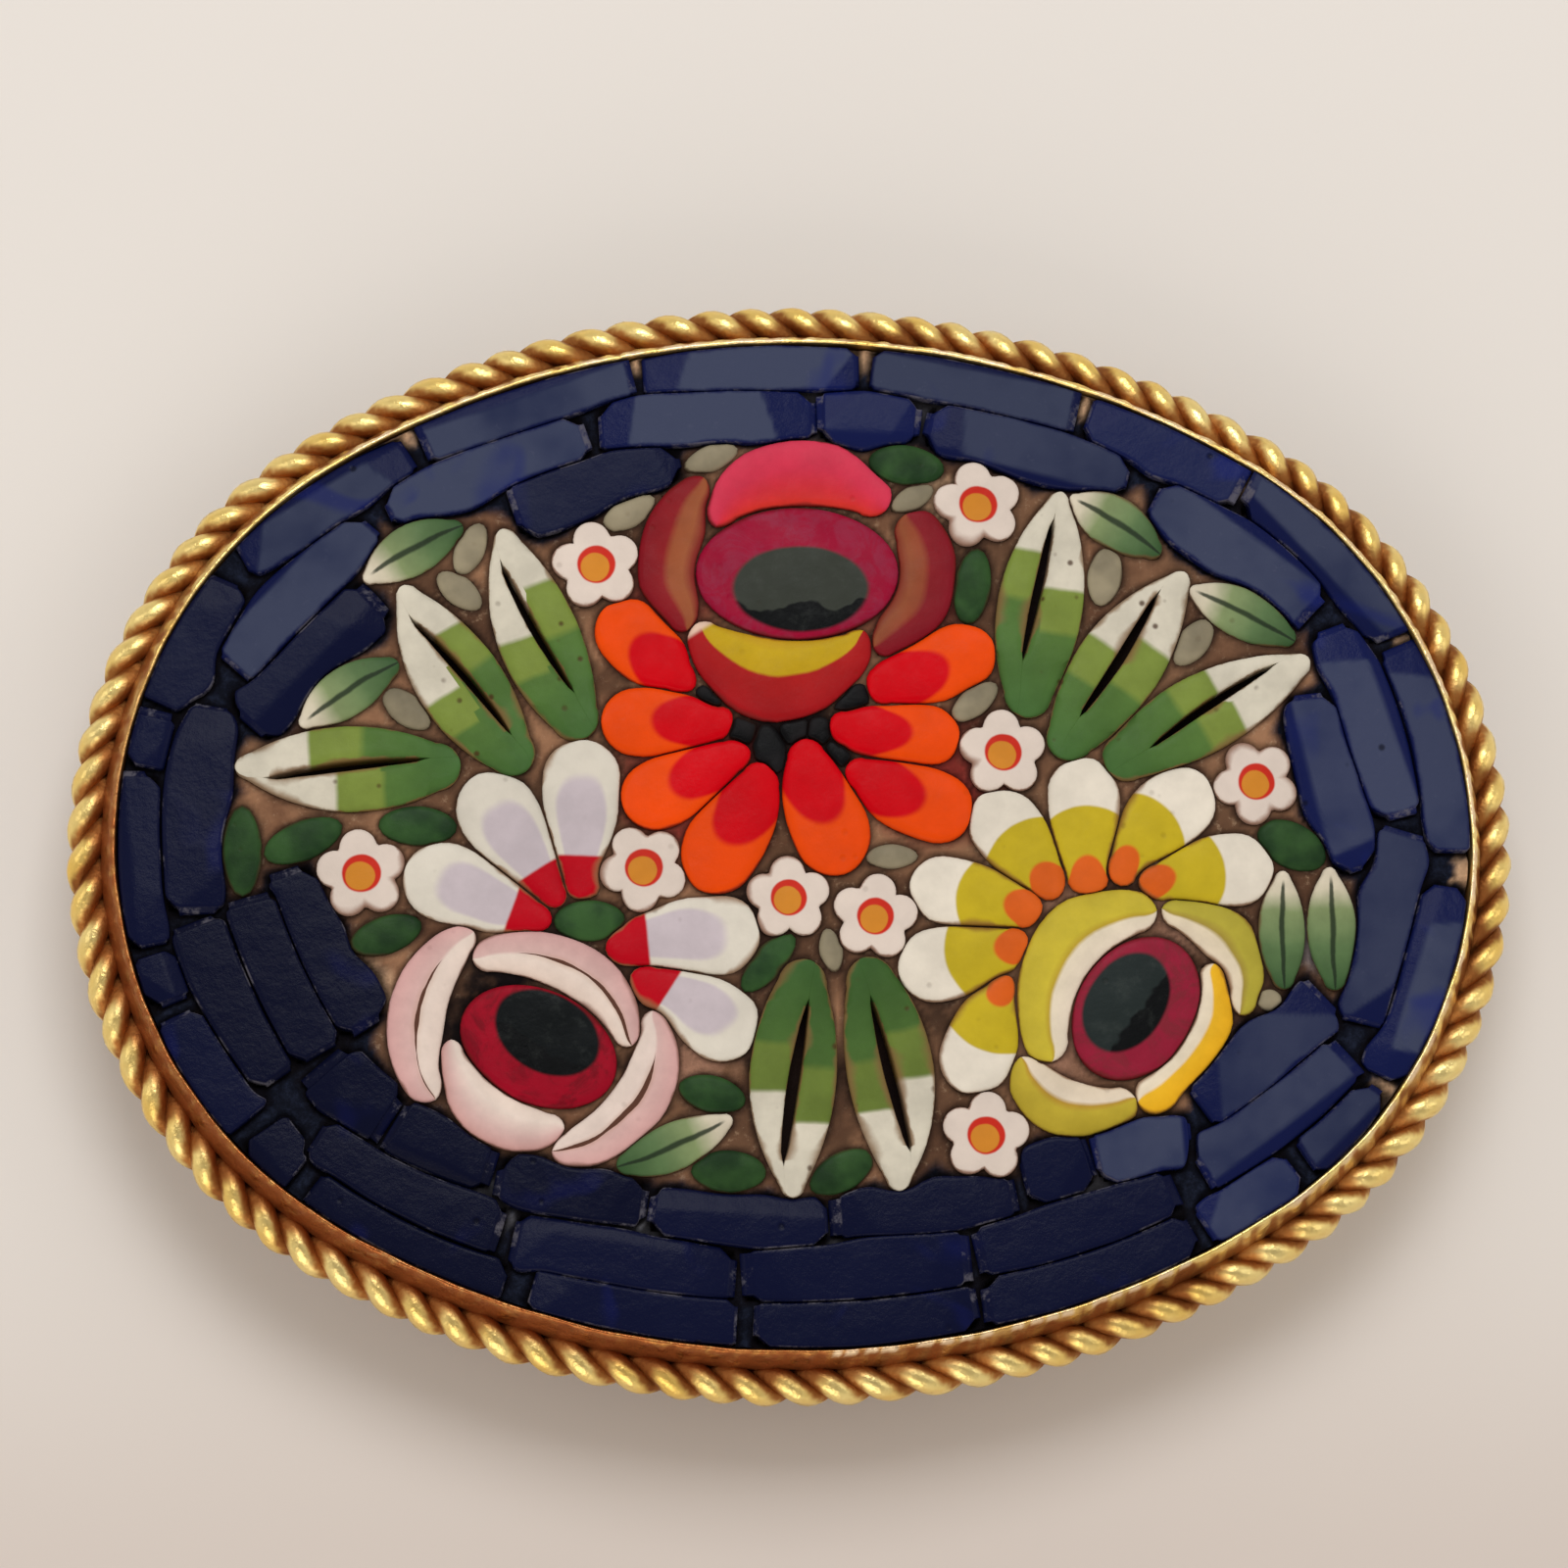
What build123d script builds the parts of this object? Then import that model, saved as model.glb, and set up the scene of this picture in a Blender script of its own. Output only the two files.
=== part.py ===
from build123d import *
import math
import os

# Sizes in millimetres
OPENING_LENGTH = 41.0
OPENING_WIDTH = OPENING_LENGTH * 0.7537
END_RADIUS = OPENING_LENGTH * 0.3293
WALL = 0.25
PLATE = 0.6
CUP_HEIGHT = 2.6
ROPE_RADIUS = 0.68
ROPE_BELOW_LIP = 1.55
ROPE_PITCH = 1.27
ROPE_TURN = 36.0
STONE_HEIGHT = 0.9
STONE_BELOW_LIP = 0.05
BED_GAP = 0.05
EDGE = 0.08
PIN_LENGTH = 30.0
PIN_WIDTH = 5.0
PIN_BAR = 0.8
PIN_STEM = 0.8
PIN_DEPTH = 3.15

# Heights above the surface that the brooch lies on
PLATE_FOOT = PIN_DEPTH + BED_GAP
LIP = PLATE_FOOT + CUP_HEIGHT
STONE_TOP = LIP - STONE_BELOW_LIP
STONE_FOOT = STONE_TOP - STONE_HEIGHT
ROPE_LEVEL = LIP - ROPE_BELOW_LIP

# Chart of the mosaic: positions and widths in squares, 41 squares along the opening
UNIT = OPENING_LENGTH / 41.0

GROUND = [
    # row, x1, y1, xm, ym, x2, y2, w1, wm, w2
    ("outer", -20.0, 2.15, -20.0, -0.4, -19.6, -3.1, 0.95, 1.3, 1.05),
    ("outer", -19.55, -3.35, -19.35, -4.0, -19.05, -4.75, 1.0, 1.1, 0.9),
    ("outer", -18.75, -5.25, -17.85, -6.95, -16.75, -8.45, 1.1, 1.45, 1.3),
    ("outer", -16.4, -8.75, -15.9, -9.4, -15.25, -10.0, 1.3, 1.3, 1.1),
    ("outer", -14.75, -10.35, -12.1, -12.1, -9.1, -13.35, 1.0, 1.2, 1.1),
    ("outer", -8.4, -13.55, -5.4, -14.3, -2.3, -14.7, 1.2, 1.3, 1.2),
    ("outer", -1.7, -14.75, 1.6, -14.75, 4.85, -14.35, 1.1, 1.3, 1.0),
    ("outer", 5.2, -14.1, 8.5, -13.45, 11.45, -12.2, 1.2, 1.35, 1.1),
    ("outer", 11.95, -12.1, 13.3, -11.3, 14.65, -10.35, 0.9, 1.35, 1.2),
    ("outer", 15.05, -10.0, 16.2, -9.1, 17.15, -7.95, 1.2, 1.2, 0.9),
    ("outer", 17.55, -7.6, 19.0, -4.6, 19.75, -1.7, 1.0, 1.75, 1.3),
    ("outer", 19.9, -0.7, 19.75, 2.4, 18.75, 5.7, 1.2, 1.7, 1.3),
    ("outer", 18.45, 6.2, 16.9, 8.75, 14.35, 10.75, 1.5, 1.75, 1.3),
    ("outer", 13.85, 10.95, 11.6, 12.15, 9.25, 13.15, 1.5, 1.8, 1.2),
    ("outer", 8.85, 13.45, 5.8, 14.2, 2.6, 14.75, 1.5, 1.5, 1.1),
    ("outer", 2.2, 14.75, -1.1, 14.75, -4.45, 14.6, 1.1, 1.4, 1.0),
    ("outer", -4.95, 14.6, -8.0, 13.75, -11.15, 12.5, 1.2, 1.75, 1.2),
    ("outer", -11.7, 12.1, -14.15, 10.65, -16.75, 8.95, 1.05, 1.55, 0.9),
    ("outer", -17.3, 8.1, -18.2, 6.3, -19.15, 4.3, 1.0, 1.6, 1.3),
    ("outer", -19.5, 4.0, -19.7, 3.2, -19.85, 2.4, 1.1, 1.05, 0.9),
    ("middle", -17.7, 4.25, -18.15, 1.0, -18.25, -2.0, 1.1, 1.5, 1.3),
    ("middle", -18.15, -2.45, -17.05, -4.95, -15.75, -7.1, 1.2, 1.35, 1.2),
    ("middle", -14.65, -8.95, -12.1, -10.5, -9.3, -11.7, 1.0, 1.35, 1.25),
    ("middle", -8.8, -12.0, -5.6, -12.65, -2.35, -13.1, 1.25, 1.45, 1.35),
    ("middle", -1.8, -13.25, 1.4, -13.1, 4.55, -12.85, 1.2, 1.6, 1.2),
    ("middle", 5.05, -12.65, 8.0, -11.88, 10.85, -10.9, 1.2, 1.4, 1.0),
    ("middle", 11.85, -10.2, 14.15, -8.75, 16.3, -7.05, 1.1, 1.45, 1.2),
    ("middle", 16.95, -5.85, 17.68, -3.1, 18.5, -0.15, 1.15, 1.5, 1.05),
    ("middle", 18.4, 0.6, 17.7, 3.4, 16.7, 6.3, 1.0, 1.75, 0.9),
    ("middle", 15.9, 6.95, 13.85, 8.8, 11.25, 10.5, 1.2, 1.5, 1.2),
    ("middle", 10.45, 11.2, 7.5, 12.05, 4.35, 12.9, 0.9, 1.4, 1.1),
    ("middle", 3.95, 12.95, 2.5, 13.1, 1.05, 13.15, 1.0, 1.3, 1.2),
    ("middle", 0.75, 13.2, -2.5, 13.1, -5.8, 12.95, 1.2, 1.45, 1.1),
    ("middle", -6.3, 12.55, -9.35, 11.5, -12.3, 10.3, 1.2, 1.35, 0.9),
    ("middle", -12.95, 9.8, -14.85, 7.8, -17.0, 5.45, 0.85, 1.3, 1.15),
    ("inner", -12.85, 7.45, -14.75, 5.65, -16.5, 3.75, 1.2, 1.3, 1.15),
    ("inner", -8.4, 10.3, -6.0, 11.0, -3.4, 11.65, 1.2, 1.45, 0.8),
    ("inner", -16.5, -1.75, -15.7, -4.1, -14.6, -6.4, 1.1, 1.4, 1.4),
    ("inner", -15.3, -0.9, -14.4, -3.2, -13.15, -5.5, 1.0, 1.3, 1.2),
    ("inner", -14.2, -6.85, -13.5, -7.6, -12.6, -8.3, 1.3, 1.4, 1.3),
    ("inner", -12.3, -8.65, -11.0, -9.35, -9.6, -9.9, 1.3, 1.3, 1.0),
    ("inner", -9.2, -10.2, -7.2, -10.6, -5.0, -10.95, 0.9, 1.2, 0.9),
    ("inner", -4.7, -11.3, -2.1, -11.68, 0.5, -11.75, 0.9, 1.15, 1.1),
    ("inner", 0.9, -11.5, 3.5, -11.3, 6.1, -10.95, 0.8, 1.15, 0.9),
    ("inner", 6.45, -10.5, 7.4, -10.25, 8.4, -9.95, 1.1, 1.3, 1.3),
    ("inner", 8.65, -9.85, 10.2, -9.55, 11.4, -9.35, 1.2, 1.3, 0.6),
    ("inner", 11.85, -8.3, 13.9, -6.75, 15.7, -5.2, 1.2, 1.5, 1.2),
    ("inner", 15.85, 4.2, 16.25, 1.5, 16.95, -1.2, 1.1, 1.35, 1.0),
]

LEAVES = [
    # name, root x, y, tip x, y, belly, bow, slit tip x, y, middle x, y, root x, y
    ("leaf_west", -10.2, 2.35, -16.95, 2.4, 2.6, 0.1, -16.05, 2.0, -13.6, 2.35, -11.2, 2.55),
    ("leaf_north_west", -8.2, 2.15, -11.85, 7.9, 2.6, 0.2, -11.65, 6.9, -10.3, 5.45, -8.65, 3.25),
    ("leaf_north_north_west", -6.4, 3.15, -8.8, 9.65, 2.5, 0.2, -8.88, 8.6, -7.85, 6.45, -6.7, 4.5),
    ("leaf_north_east", 7.0, 3.65, 8.35, 10.7, 2.6, 0.1, 8.1, 9.9, 7.55, 7.75, 6.95, 5.4),
    ("leaf_east_north_east", 7.95, 2.4, 12.1, 8.1, 2.6, 0.1, 11.2, 7.5, 9.95, 5.45, 8.6, 3.6),
    ("leaf_east", 9.4, 2.0, 15.8, 5.35, 2.4, 0.1, 14.7, 5.2, 12.9, 4.15, 10.8, 2.65),
    ("leaf_south_west", 0.1, -3.75, -0.5, -10.9, 2.6, -0.22, -0.78, -9.9, -0.4, -7.5, 0.1, -5.1),
    ("leaf_south_east", 1.8, -3.7, 2.65, -10.75, 2.6, 0.3, 3.05, -9.6, 2.55, -7.4, 2.0, -4.95),
]

PETALS = [
    # family, root x, y, tip x, y, belly, bow
    ("red", -3.3, 4.75, -5.7, 7.1, 2.0, 0.0),
    ("red", -2.0, 3.55, -5.85, 3.65, 1.95, 0.0),
    ("red", -1.65, 2.7, -5.2, 0.9, 2.0, 0.0),
    ("red", -1.0, 2.15, -3.05, -1.5, 2.2, 0.0),
    ("red", 0.2, 2.95, 1.28, -1.05, 2.2, 0.0),
    ("red", 1.5, 2.05, 5.15, 0.48, 2.05, 0.0),
    ("red", 1.1, 3.35, 4.92, 3.05, 1.7, 0.0),
    ("red", 2.35, 4.45, 6.0, 5.95, 1.95, 0.0),
    ("lilac", -6.7, -1.7, -6.5, 3.0, 2.25, 0.0),
    ("lilac", -7.3, -1.9, -9.75, 1.9, 2.3, 0.0),
    ("lilac", -7.65, -2.45, -11.8, -0.75, 2.3, 0.0),
    ("lilac", -5.8, -3.15, -1.3, -2.85, 2.35, 0.0),
    ("lilac", -4.95, -4.2, -1.85, -6.48, 2.22, 0.3),
    ("yellow", 7.0, -2.3, 3.38, -1.42, 1.9, 0.0),
    ("yellow", 6.7, -3.35, 2.95, -4.2, 2.1, 0.0),
    ("yellow", 6.15, -4.45, 4.7, -7.75, 2.05, 0.0),
    ("yellow", 7.6, -1.6, 5.62, 1.22, 2.05, 0.0),
    ("yellow", 8.8, -1.65, 8.65, 2.33, 2.05, 0.0),
    ("yellow", 9.5, -1.25, 12.4, 1.65, 2.2, 0.1),
    ("yellow", 10.4, -1.4, 14.32, -1.05, 2.1, 0.0),
]

CRESCENTS = [
    # name, x1, y1, xm, ym, x2, y2, w1, wm, w2
    ("red_rose_top", -2.2, 9.85, 0.35, 11.45, 2.75, 10.35, 0.75, 1.7, 0.75),
    ("red_rose_west", -2.8, 11.05, -3.85, 8.75, -3.35, 6.55, 0.8, 1.6, 0.65),
    ("red_rose_east", 3.65, 9.85, 4.15, 8.0, 2.6, 5.95, 0.9, 1.6, 0.55),
    ("red_rose_south", -2.95, 6.45, -0.4, 4.75, 2.0, 6.2, 0.6, 2.3, 0.6),
    ("pink_rose_west", -9.95, -2.8, -11.55, -4.95, -11.15, -7.65, 0.7, 1.4, 1.0),
    ("pink_rose_north", -9.8, -3.55, -7.15, -3.72, -5.25, -6.15, 0.7, 1.35, 0.6),
    ("pink_rose_east", -4.55, -5.3, -4.8, -7.6, -7.55, -9.4, 0.75, 1.35, 0.8),
    ("pink_rose_south", -10.6, -6.15, -9.5, -8.2, -7.4, -8.75, 0.6, 1.35, 0.7),
    ("yellow_rose_north", 10.5, -2.35, 7.72, -3.65, 7.3, -6.7, 0.8, 1.75, 0.9),
    ("yellow_rose_east", 11.2, -2.35, 12.95, -3.3, 13.25, -5.35, 0.5, 1.2, 0.75),
    ("yellow_rose_south_east", 12.5, -4.15, 12.05, -6.35, 10.15, -8.15, 0.5, 0.95, 0.6),
    ("yellow_rose_south", 6.5, -6.95, 7.6, -8.3, 9.7, -8.2, 0.6, 1.2, 0.7),
]

HEARTS = [
    # name, ring x, y, half length, half width, turn, core x, y, half length, half width, turn
    ("red_rose_heart", 0.15, 8.2, 3.05, 2.0, 0, 0.2, 7.7, 2.12, 1.35, 0),
    ("pink_rose_heart", -8.0, -6.25, 2.4, 1.65, -26, -7.75, -5.85, 1.7, 1.2, -30),
    ("yellow_rose_heart", 10.02, -5.35, 2.3, 1.7, 55, 9.7, -5.2, 1.7, 1.2, 55),
]

SMALL_LEAVES = [
    # root x, y, tip x, y, belly, bow
    (-10.05, 9.75, -13.0, 8.1, 1.5, -0.12),
    (-12.05, 5.5, -14.95, 3.6, 1.45, -0.12),
    (11.3, 8.7, 8.6, 10.5, 1.6, -0.12),
    (15.35, 5.95, 12.2, 7.6, 1.5, -0.08),
    (14.55, -4.8, 14.68, -1.25, 1.35, 0.05),
    (16.12, -4.85, 16.12, -1.15, 1.45, 0.0),
    (-5.7, -9.9, -2.3, -8.5, 1.35, -0.1),
]

DAISIES = [
    # x, y, across, turn
    (-5.98, 8.5, 2.75, 99), (5.76, 10.3, 2.75, 99), (6.25, 2.55, 2.7, 91),
    (13.98, 1.55, 2.65, 46), (-13.2, -0.95, 2.75, 97), (-4.75, -0.88, 2.7, 46),
    (-0.4, -1.85, 2.6, 91), (2.2, -2.45, 2.65, 9), (5.33, -9.15, 2.7, 84),
]

OVALS = [
    # colour, x, y, length, width, turn
    ("green", -16.75, -0.2, 2.65, 1.05, 90), ("green", -14.95, 0.1, 2.4, 1.05, 22),
    ("green", -11.5, 0.5, 2.2, 1.05, -3), ("green", -12.5, -2.8, 2.1, 1.0, 18),
    ("green", -6.4, -2.45, 2.0, 1.1, 0), ("green", -1.05, -3.78, 2.2, 0.85, 48),
    ("green", -2.85, -7.75, 1.9, 0.95, -15), ("green", -2.4, -10.08, 2.1, 1.1, -3),
    ("green", 0.98, -10.15, 2.0, 1.0, 28), ("green", 3.6, 11.6, 2.2, 1.1, -8),
    ("green", 5.5, 7.75, 2.3, 1.0, 80), ("green", 15.0, -0.4, 2.1, 1.25, -28),
    ("grey", -2.4, 11.85, 1.6, 0.65, 20), ("grey", -4.95, 10.15, 1.7, 0.75, 30),
    ("grey", -9.8, 9.05, 1.6, 0.75, 65), ("grey", -10.15, 7.75, 1.5, 0.75, -40),
    ("grey", -11.8, 4.1, 1.6, 0.8, -40), ("grey", 3.75, 10.55, 1.3, 0.6, 28),
    ("grey", 5.45, 4.15, 1.6, 0.7, 38), ("grey", 9.6, 8.05, 1.75, 0.9, 78),
    ("grey", 12.25, 5.95, 1.6, 0.8, 50), ("grey", 2.75, -0.6, 1.5, 0.6, 0),
    ("grey", 0.85, -3.45, 1.2, 0.55, 100), ("grey", 14.1, -5.15, 0.6, 0.5, 0),
]

CHIPS = [
    # x, y, length, width, turn
    (-2.6, 4.35, 0.55, 0.3, -25), (-1.7, 3.35, 0.55, 0.45, 0), (-0.85, 2.75, 1.2, 0.5, -75),
    (-0.05, 3.35, 0.5, 0.45, 70), (0.7, 3.25, 0.45, 0.45, 90), (1.2, 2.6, 0.65, 0.3, -62),
    (1.7, 4.3, 0.85, 0.4, 20),
]

# Clearance left around each stone, in squares
GAP = 0.07


def arc_points(p, q, r, n):
    (x1, y1), (x2, y2), (x3, y3) = p, q, r
    d = 2 * (x1 * (y2 - y3) + x2 * (y3 - y1) + x3 * (y1 - y2))
    if abs(d) < 1e-6:
        return [(x1 + (x3 - x1) * i / n, y1 + (y3 - y1) * i / n) for i in range(n + 1)]
    a, b, c = x1 * x1 + y1 * y1, x2 * x2 + y2 * y2, x3 * x3 + y3 * y3
    cx = (a * (y2 - y3) + b * (y3 - y1) + c * (y1 - y2)) / d
    cy = (a * (x3 - x2) + b * (x1 - x3) + c * (x2 - x1)) / d
    rad = math.hypot(x1 - cx, y1 - cy)
    t1, t2, t3 = (math.atan2(y - cy, x - cx) for x, y in (p, q, r))
    ccw = (t3 - t1) % (2 * math.pi)
    if (t2 - t1) % (2 * math.pi) > ccw:
        ccw -= 2 * math.pi
    return [(cx + rad * math.cos(t1 + ccw * i / n), cy + rad * math.sin(t1 + ccw * i / n)) for i in range(n + 1)]


def bowed(x1, y1, x2, y2, bow, share):
    dx, dy = x2 - x1, y2 - y1
    length = math.hypot(dx, dy)
    return x1 + dx * share - dy / length * bow, y1 + dy * share + dx / length * bow


def band_key(a, m, b, w1, wm, w2, round_ends):
    """Side points of a stone along a three-point centre line, as (left three, right three, caps)."""
    line = arc_points(a, m, b, 20)
    u = (line[1][0] - line[0][0], line[1][1] - line[0][1])
    v = (line[-1][0] - line[-2][0], line[-1][1] - line[-2][1])
    lu, lv = math.hypot(*u), math.hypot(*v)
    u, v = (u[0] / lu, u[1] / lu), (v[0] / lv, v[1] / lv)
    w = (b[0] - a[0], b[1] - a[1])
    lw = math.hypot(*w)
    w = (w[0] / lw, w[1] / lw)
    if round_ends:
        a = (a[0] + u[0] * w1 / 2, a[1] + u[1] * w1 / 2)
        b = (b[0] - v[0] * w2 / 2, b[1] - v[1] * w2 / 2)
    w1, wm, w2 = w1 - GAP, wm - GAP, w2 - GAP
    if not round_ends:
        a = (a[0] + u[0] * GAP / 2, a[1] + u[1] * GAP / 2)
        b = (b[0] - v[0] * GAP / 2, b[1] - v[1] * GAP / 2)
    left = [(a[0] - u[1] * w1 / 2, a[1] + u[0] * w1 / 2), (m[0] - w[1] * wm / 2, m[1] + w[0] * wm / 2),
            (b[0] - v[1] * w2 / 2, b[1] + v[0] * w2 / 2)]
    right = [(a[0] + u[1] * w1 / 2, a[1] - u[0] * w1 / 2), (m[0] + w[1] * wm / 2, m[1] - w[0] * wm / 2),
             (b[0] + v[1] * w2 / 2, b[1] - v[0] * w2 / 2)]
    cap_a = (a[0] - u[0] * w1 / 2, a[1] - u[1] * w1 / 2) if round_ends else None
    cap_b = (b[0] + v[0] * w2 / 2, b[1] + v[1] * w2 / 2) if round_ends else None
    return left, right, cap_a, cap_b


# Width of a petal at its middle, as a share of its belly
PETAL_MIDDLE = {"red": 0.93, "lilac": 0.84, "yellow": 0.88}


def petal_band(row):
    family, x1, y1, x2, y2, belly, bow = row
    return (x1, y1), bowed(x1, y1, x2, y2, bow, 0.5), (x2, y2), 0.85, belly * PETAL_MIDDLE[family], belly * 0.95


def leaf_band(row):
    x1, y1, x2, y2, belly, bow = row[1:7]
    return (x1, y1), bowed(x1, y1, x2, y2, bow, 0.45), (x2, y2), 1.45, belly, 0.7


def slit_band(row):
    return (row[7], row[8]), (row[9], row[10]), (row[11], row[12]), 0.18 + GAP, 0.4 + GAP, 0.12 + GAP


def small_leaf_band(row):
    x1, y1, x2, y2, belly, bow = row
    return (x1, y1), bowed(x1, y1, x2, y2, bow, 0.5), (x2, y2), 0.6, belly, 0.4


def oval_band(x, y, length, width, turn):
    c, s = math.cos(math.radians(turn)) * length / 2, math.sin(math.radians(turn)) * length / 2
    return (x - c, y - s), (x, y), (x + c, y + s), width * 0.45, width, width * 0.45


def oval_face(offset):
    """The four-arc oval of the opening, moved outward by offset."""
    a, b, r1 = OPENING_LENGTH / 2, OPENING_WIDTH / 2, END_RADIUS
    r2 = (a * a + b * b - 2 * a * r1) / (2 * (b - r1))
    cx, cy = a - r1, r2 - b
    t = math.atan2(cy, cx)
    jx, jy = cx + (r1 + offset) * math.cos(t), (r1 + offset) * math.sin(t)
    a, b = a + offset, b + offset
    spots = [(jx, -jy), (a, 0), (jx, jy), (0, b), (-jx, jy), (-a, 0), (-jx, -jy), (0, -b)]
    edges = [ThreePointArc(spots[i], spots[i + 1], spots[(i + 2) % 8]) for i in (0, 2, 4, 6)]
    return make_face(Wire(edges))


def rope_stations(offset, count):
    """Points and directions spaced evenly along the oval."""
    a, b, r1 = OPENING_LENGTH / 2, OPENING_WIDTH / 2, END_RADIUS
    r2 = (a * a + b * b - 2 * a * r1) / (2 * (b - r1))
    cx, cy = a - r1, r2 - b
    t = math.atan2(cy, cx)
    e, f = r1 + offset, r2 + offset
    arcs = [(cx, 0, e, -t, t), (0, -cy, f, t, math.pi - t), (-cx, 0, e, math.pi - t, math.pi + t),
            (0, cy, f, math.pi + t, 2 * math.pi - t)]
    total = sum(r * (q2 - q1) for _, _, r, q1, q2 in arcs)
    out = []
    for k in range(count):
        s = total * k / count
        for x, y, r, q1, q2 in arcs:
            span = r * (q2 - q1)
            if s <= span:
                q = q1 + s / r
                out.append((x + r * math.cos(q), y + r * math.sin(q), q + math.pi / 2))
                break
            s -= span
    return out, total


def side(p, q, r):
    """A side through three points, straight when the middle one is on the line."""
    chord = math.dist(p, r)
    rise = abs((r[0] - p[0]) * (q[1] - p[1]) - (r[1] - p[1]) * (q[0] - p[0])) / chord
    if rise < 0.01 * chord:
        return Line(p, r)
    return ThreePointArc(p, q, r)


def scaled(p):
    return (p[0] * UNIT, p[1] * UNIT)


def band_face(a, m, b, w1, wm, w2, round_ends):
    left, right, cap_a, cap_b = band_key(a, m, b, w1, wm, w2, round_ends)
    left, right = [scaled(p) for p in left], [scaled(p) for p in right]
    edges = [side(*left)]
    edges.append(ThreePointArc(left[2], scaled(cap_b), right[2]) if cap_b else Line(left[2], right[2]))
    edges.append(side(*right[::-1]))
    edges.append(ThreePointArc(right[0], scaled(cap_a), left[0]) if cap_a else Line(right[0], left[0]))
    return make_face(Wire(edges))


def daisy_face(x, y, across, turn):
    d = across - GAP
    lobe, ring = d * 0.205, d * 0.295
    half = math.radians(36)
    notch = ring * math.cos(half) + math.sqrt(lobe ** 2 - (ring * math.sin(half)) ** 2)
    edges = []
    for k in range(5):
        t = math.radians(turn + 72 * k)
        spots = [((x + r * math.cos(q)) * UNIT, (y + r * math.sin(q)) * UNIT)
                 for r, q in ((notch, t - half), (d / 2, t), (notch, t + half))]
        edges.append(ThreePointArc(*spots))
    return make_face(Wire(edges))


def stone(face, edge):
    """A glass stone standing on the bed, its top edges eased."""
    body = extrude(face.moved(Location((0, 0, STONE_FOOT))), amount=STONE_HEIGHT, dir=(0, 0, 1))
    if edge:
        body = chamfer(body.edges().group_by(Axis.Z)[-1], edge)
    return body


def save(shape, name):
    solids = list(shape.solids())
    shape = solids[0] if len(solids) == 1 else Compound(solids)
    print(name, len(solids), "solids", round(sum(s.volume for s in solids), 3), all(s.is_valid for s in solids))
    export_step(shape, f"parts/{name}.step")


def ring(outer, inner, foot, top):
    return extrude((oval_face(outer) - oval_face(inner)).moved(Location((0, 0, foot))), amount=top - foot, dir=(0, 0, 1))


def rope_lobe(x, y, direction):
    """One turn of a strand, a faceted lozenge lying across the rope."""
    t = direction - math.radians(ROPE_TURN)
    e1, e2 = (math.cos(t), math.sin(t)), (-math.sin(t), math.cos(t))
    rings = []
    for along, swell in ((-0.92, 0.5), (-0.42, 1.0), (0.42, 1.0), (0.92, 0.5)):
        spots = []
        for k in range(8):
            q = math.radians(22.5 + 45 * k)
            u = math.cos(q) * ROPE_RADIUS * 0.56 * swell
            h = math.sin(q) * ROPE_RADIUS * 1.08 * swell
            spots.append(Vector(x + e1[0] * along * ROPE_RADIUS * 1.3 + e2[0] * u,
                                y + e1[1] * along * ROPE_RADIUS * 1.3 + e2[1] * u, ROPE_LEVEL + h))
        rings.append(spots)
    faces = [Face(Wire.make_polygon(rings[0])), Face(Wire.make_polygon(rings[3]))]
    for r in range(3):
        for k in range(8):
            n = (k + 1) % 8
            faces.append(Face(Wire.make_polygon([rings[r][k], rings[r][n], rings[r + 1][n], rings[r + 1][k]])))
    return Solid(Shell(faces))


def bezel_tray():
    plate = extrude(oval_face(WALL).moved(Location((0, 0, PLATE_FOOT))), amount=PLATE, dir=(0, 0, 1))
    wall = ring(WALL, 0, PLATE_FOOT, LIP)
    middle = WALL + ROPE_RADIUS * 0.92
    core = ring(middle + ROPE_RADIUS * 0.62, WALL * 0.5, ROPE_LEVEL - ROPE_RADIUS * 0.6, ROPE_LEVEL + ROPE_RADIUS * 0.6)
    total = rope_stations(middle, 4)[1]
    stations, _ = rope_stations(middle, round(total / ROPE_PITCH))
    body = plate + wall + core
    lobes = [rope_lobe(*s) for s in stations]
    body = body.solids()[0].fuse(*lobes)
    return body - extrude(oval_face(0).moved(Location((0, 0, PLATE_FOOT + PLATE))), amount=CUP_HEIGHT, dir=(0, 0, 1))


def cement_bed():
    foot = PLATE_FOOT + PLATE + BED_GAP
    return extrude(oval_face(-BED_GAP).moved(Location((0, 0, foot))), amount=STONE_FOOT - BED_GAP - foot, dir=(0, 0, 1))


def pin_back():
    bar = Pos(0, 0, PIN_DEPTH - PIN_BAR / 2) * Box(PIN_LENGTH, PIN_WIDTH * 0.8, PIN_BAR)
    block = PIN_LENGTH * 0.1
    reach = (PIN_LENGTH - block) / 2
    foot = Pos(0, 0, PIN_DEPTH / 2) * Box(block, PIN_WIDTH, PIN_DEPTH)
    stem = Pos(0, 0, PIN_DEPTH * 0.38) * Rot(0, 90, 0) * Cylinder(PIN_STEM / 2, PIN_LENGTH - block)
    return bar + foot.moved(Location((reach, 0, 0))) + foot.moved(Location((-reach, 0, 0))) + stem


os.makedirs("parts", exist_ok=True)

save(bezel_tray(), "bezel_tray")
save(cement_bed(), "cement_bed")
save(pin_back(), "pin_back")

field = {"upper": [], "lower": []}
inside = oval_face(-GAP)
for row, x1, y1, xm, ym, x2, y2, w1, wm, w2 in GROUND:
    face = band_face((x1, y1), (xm, ym), (x2, y2), w1, wm, w2, False)
    if row == "outer":
        face = face & inside
    field["upper" if ym > -0.5 else "lower"].append(stone(face, 0 if row == "outer" else EDGE))
for name, stones in field.items():
    save(Compound([s.solids()[0] for s in stones]), f"ground_tiles_{name}")

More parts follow.
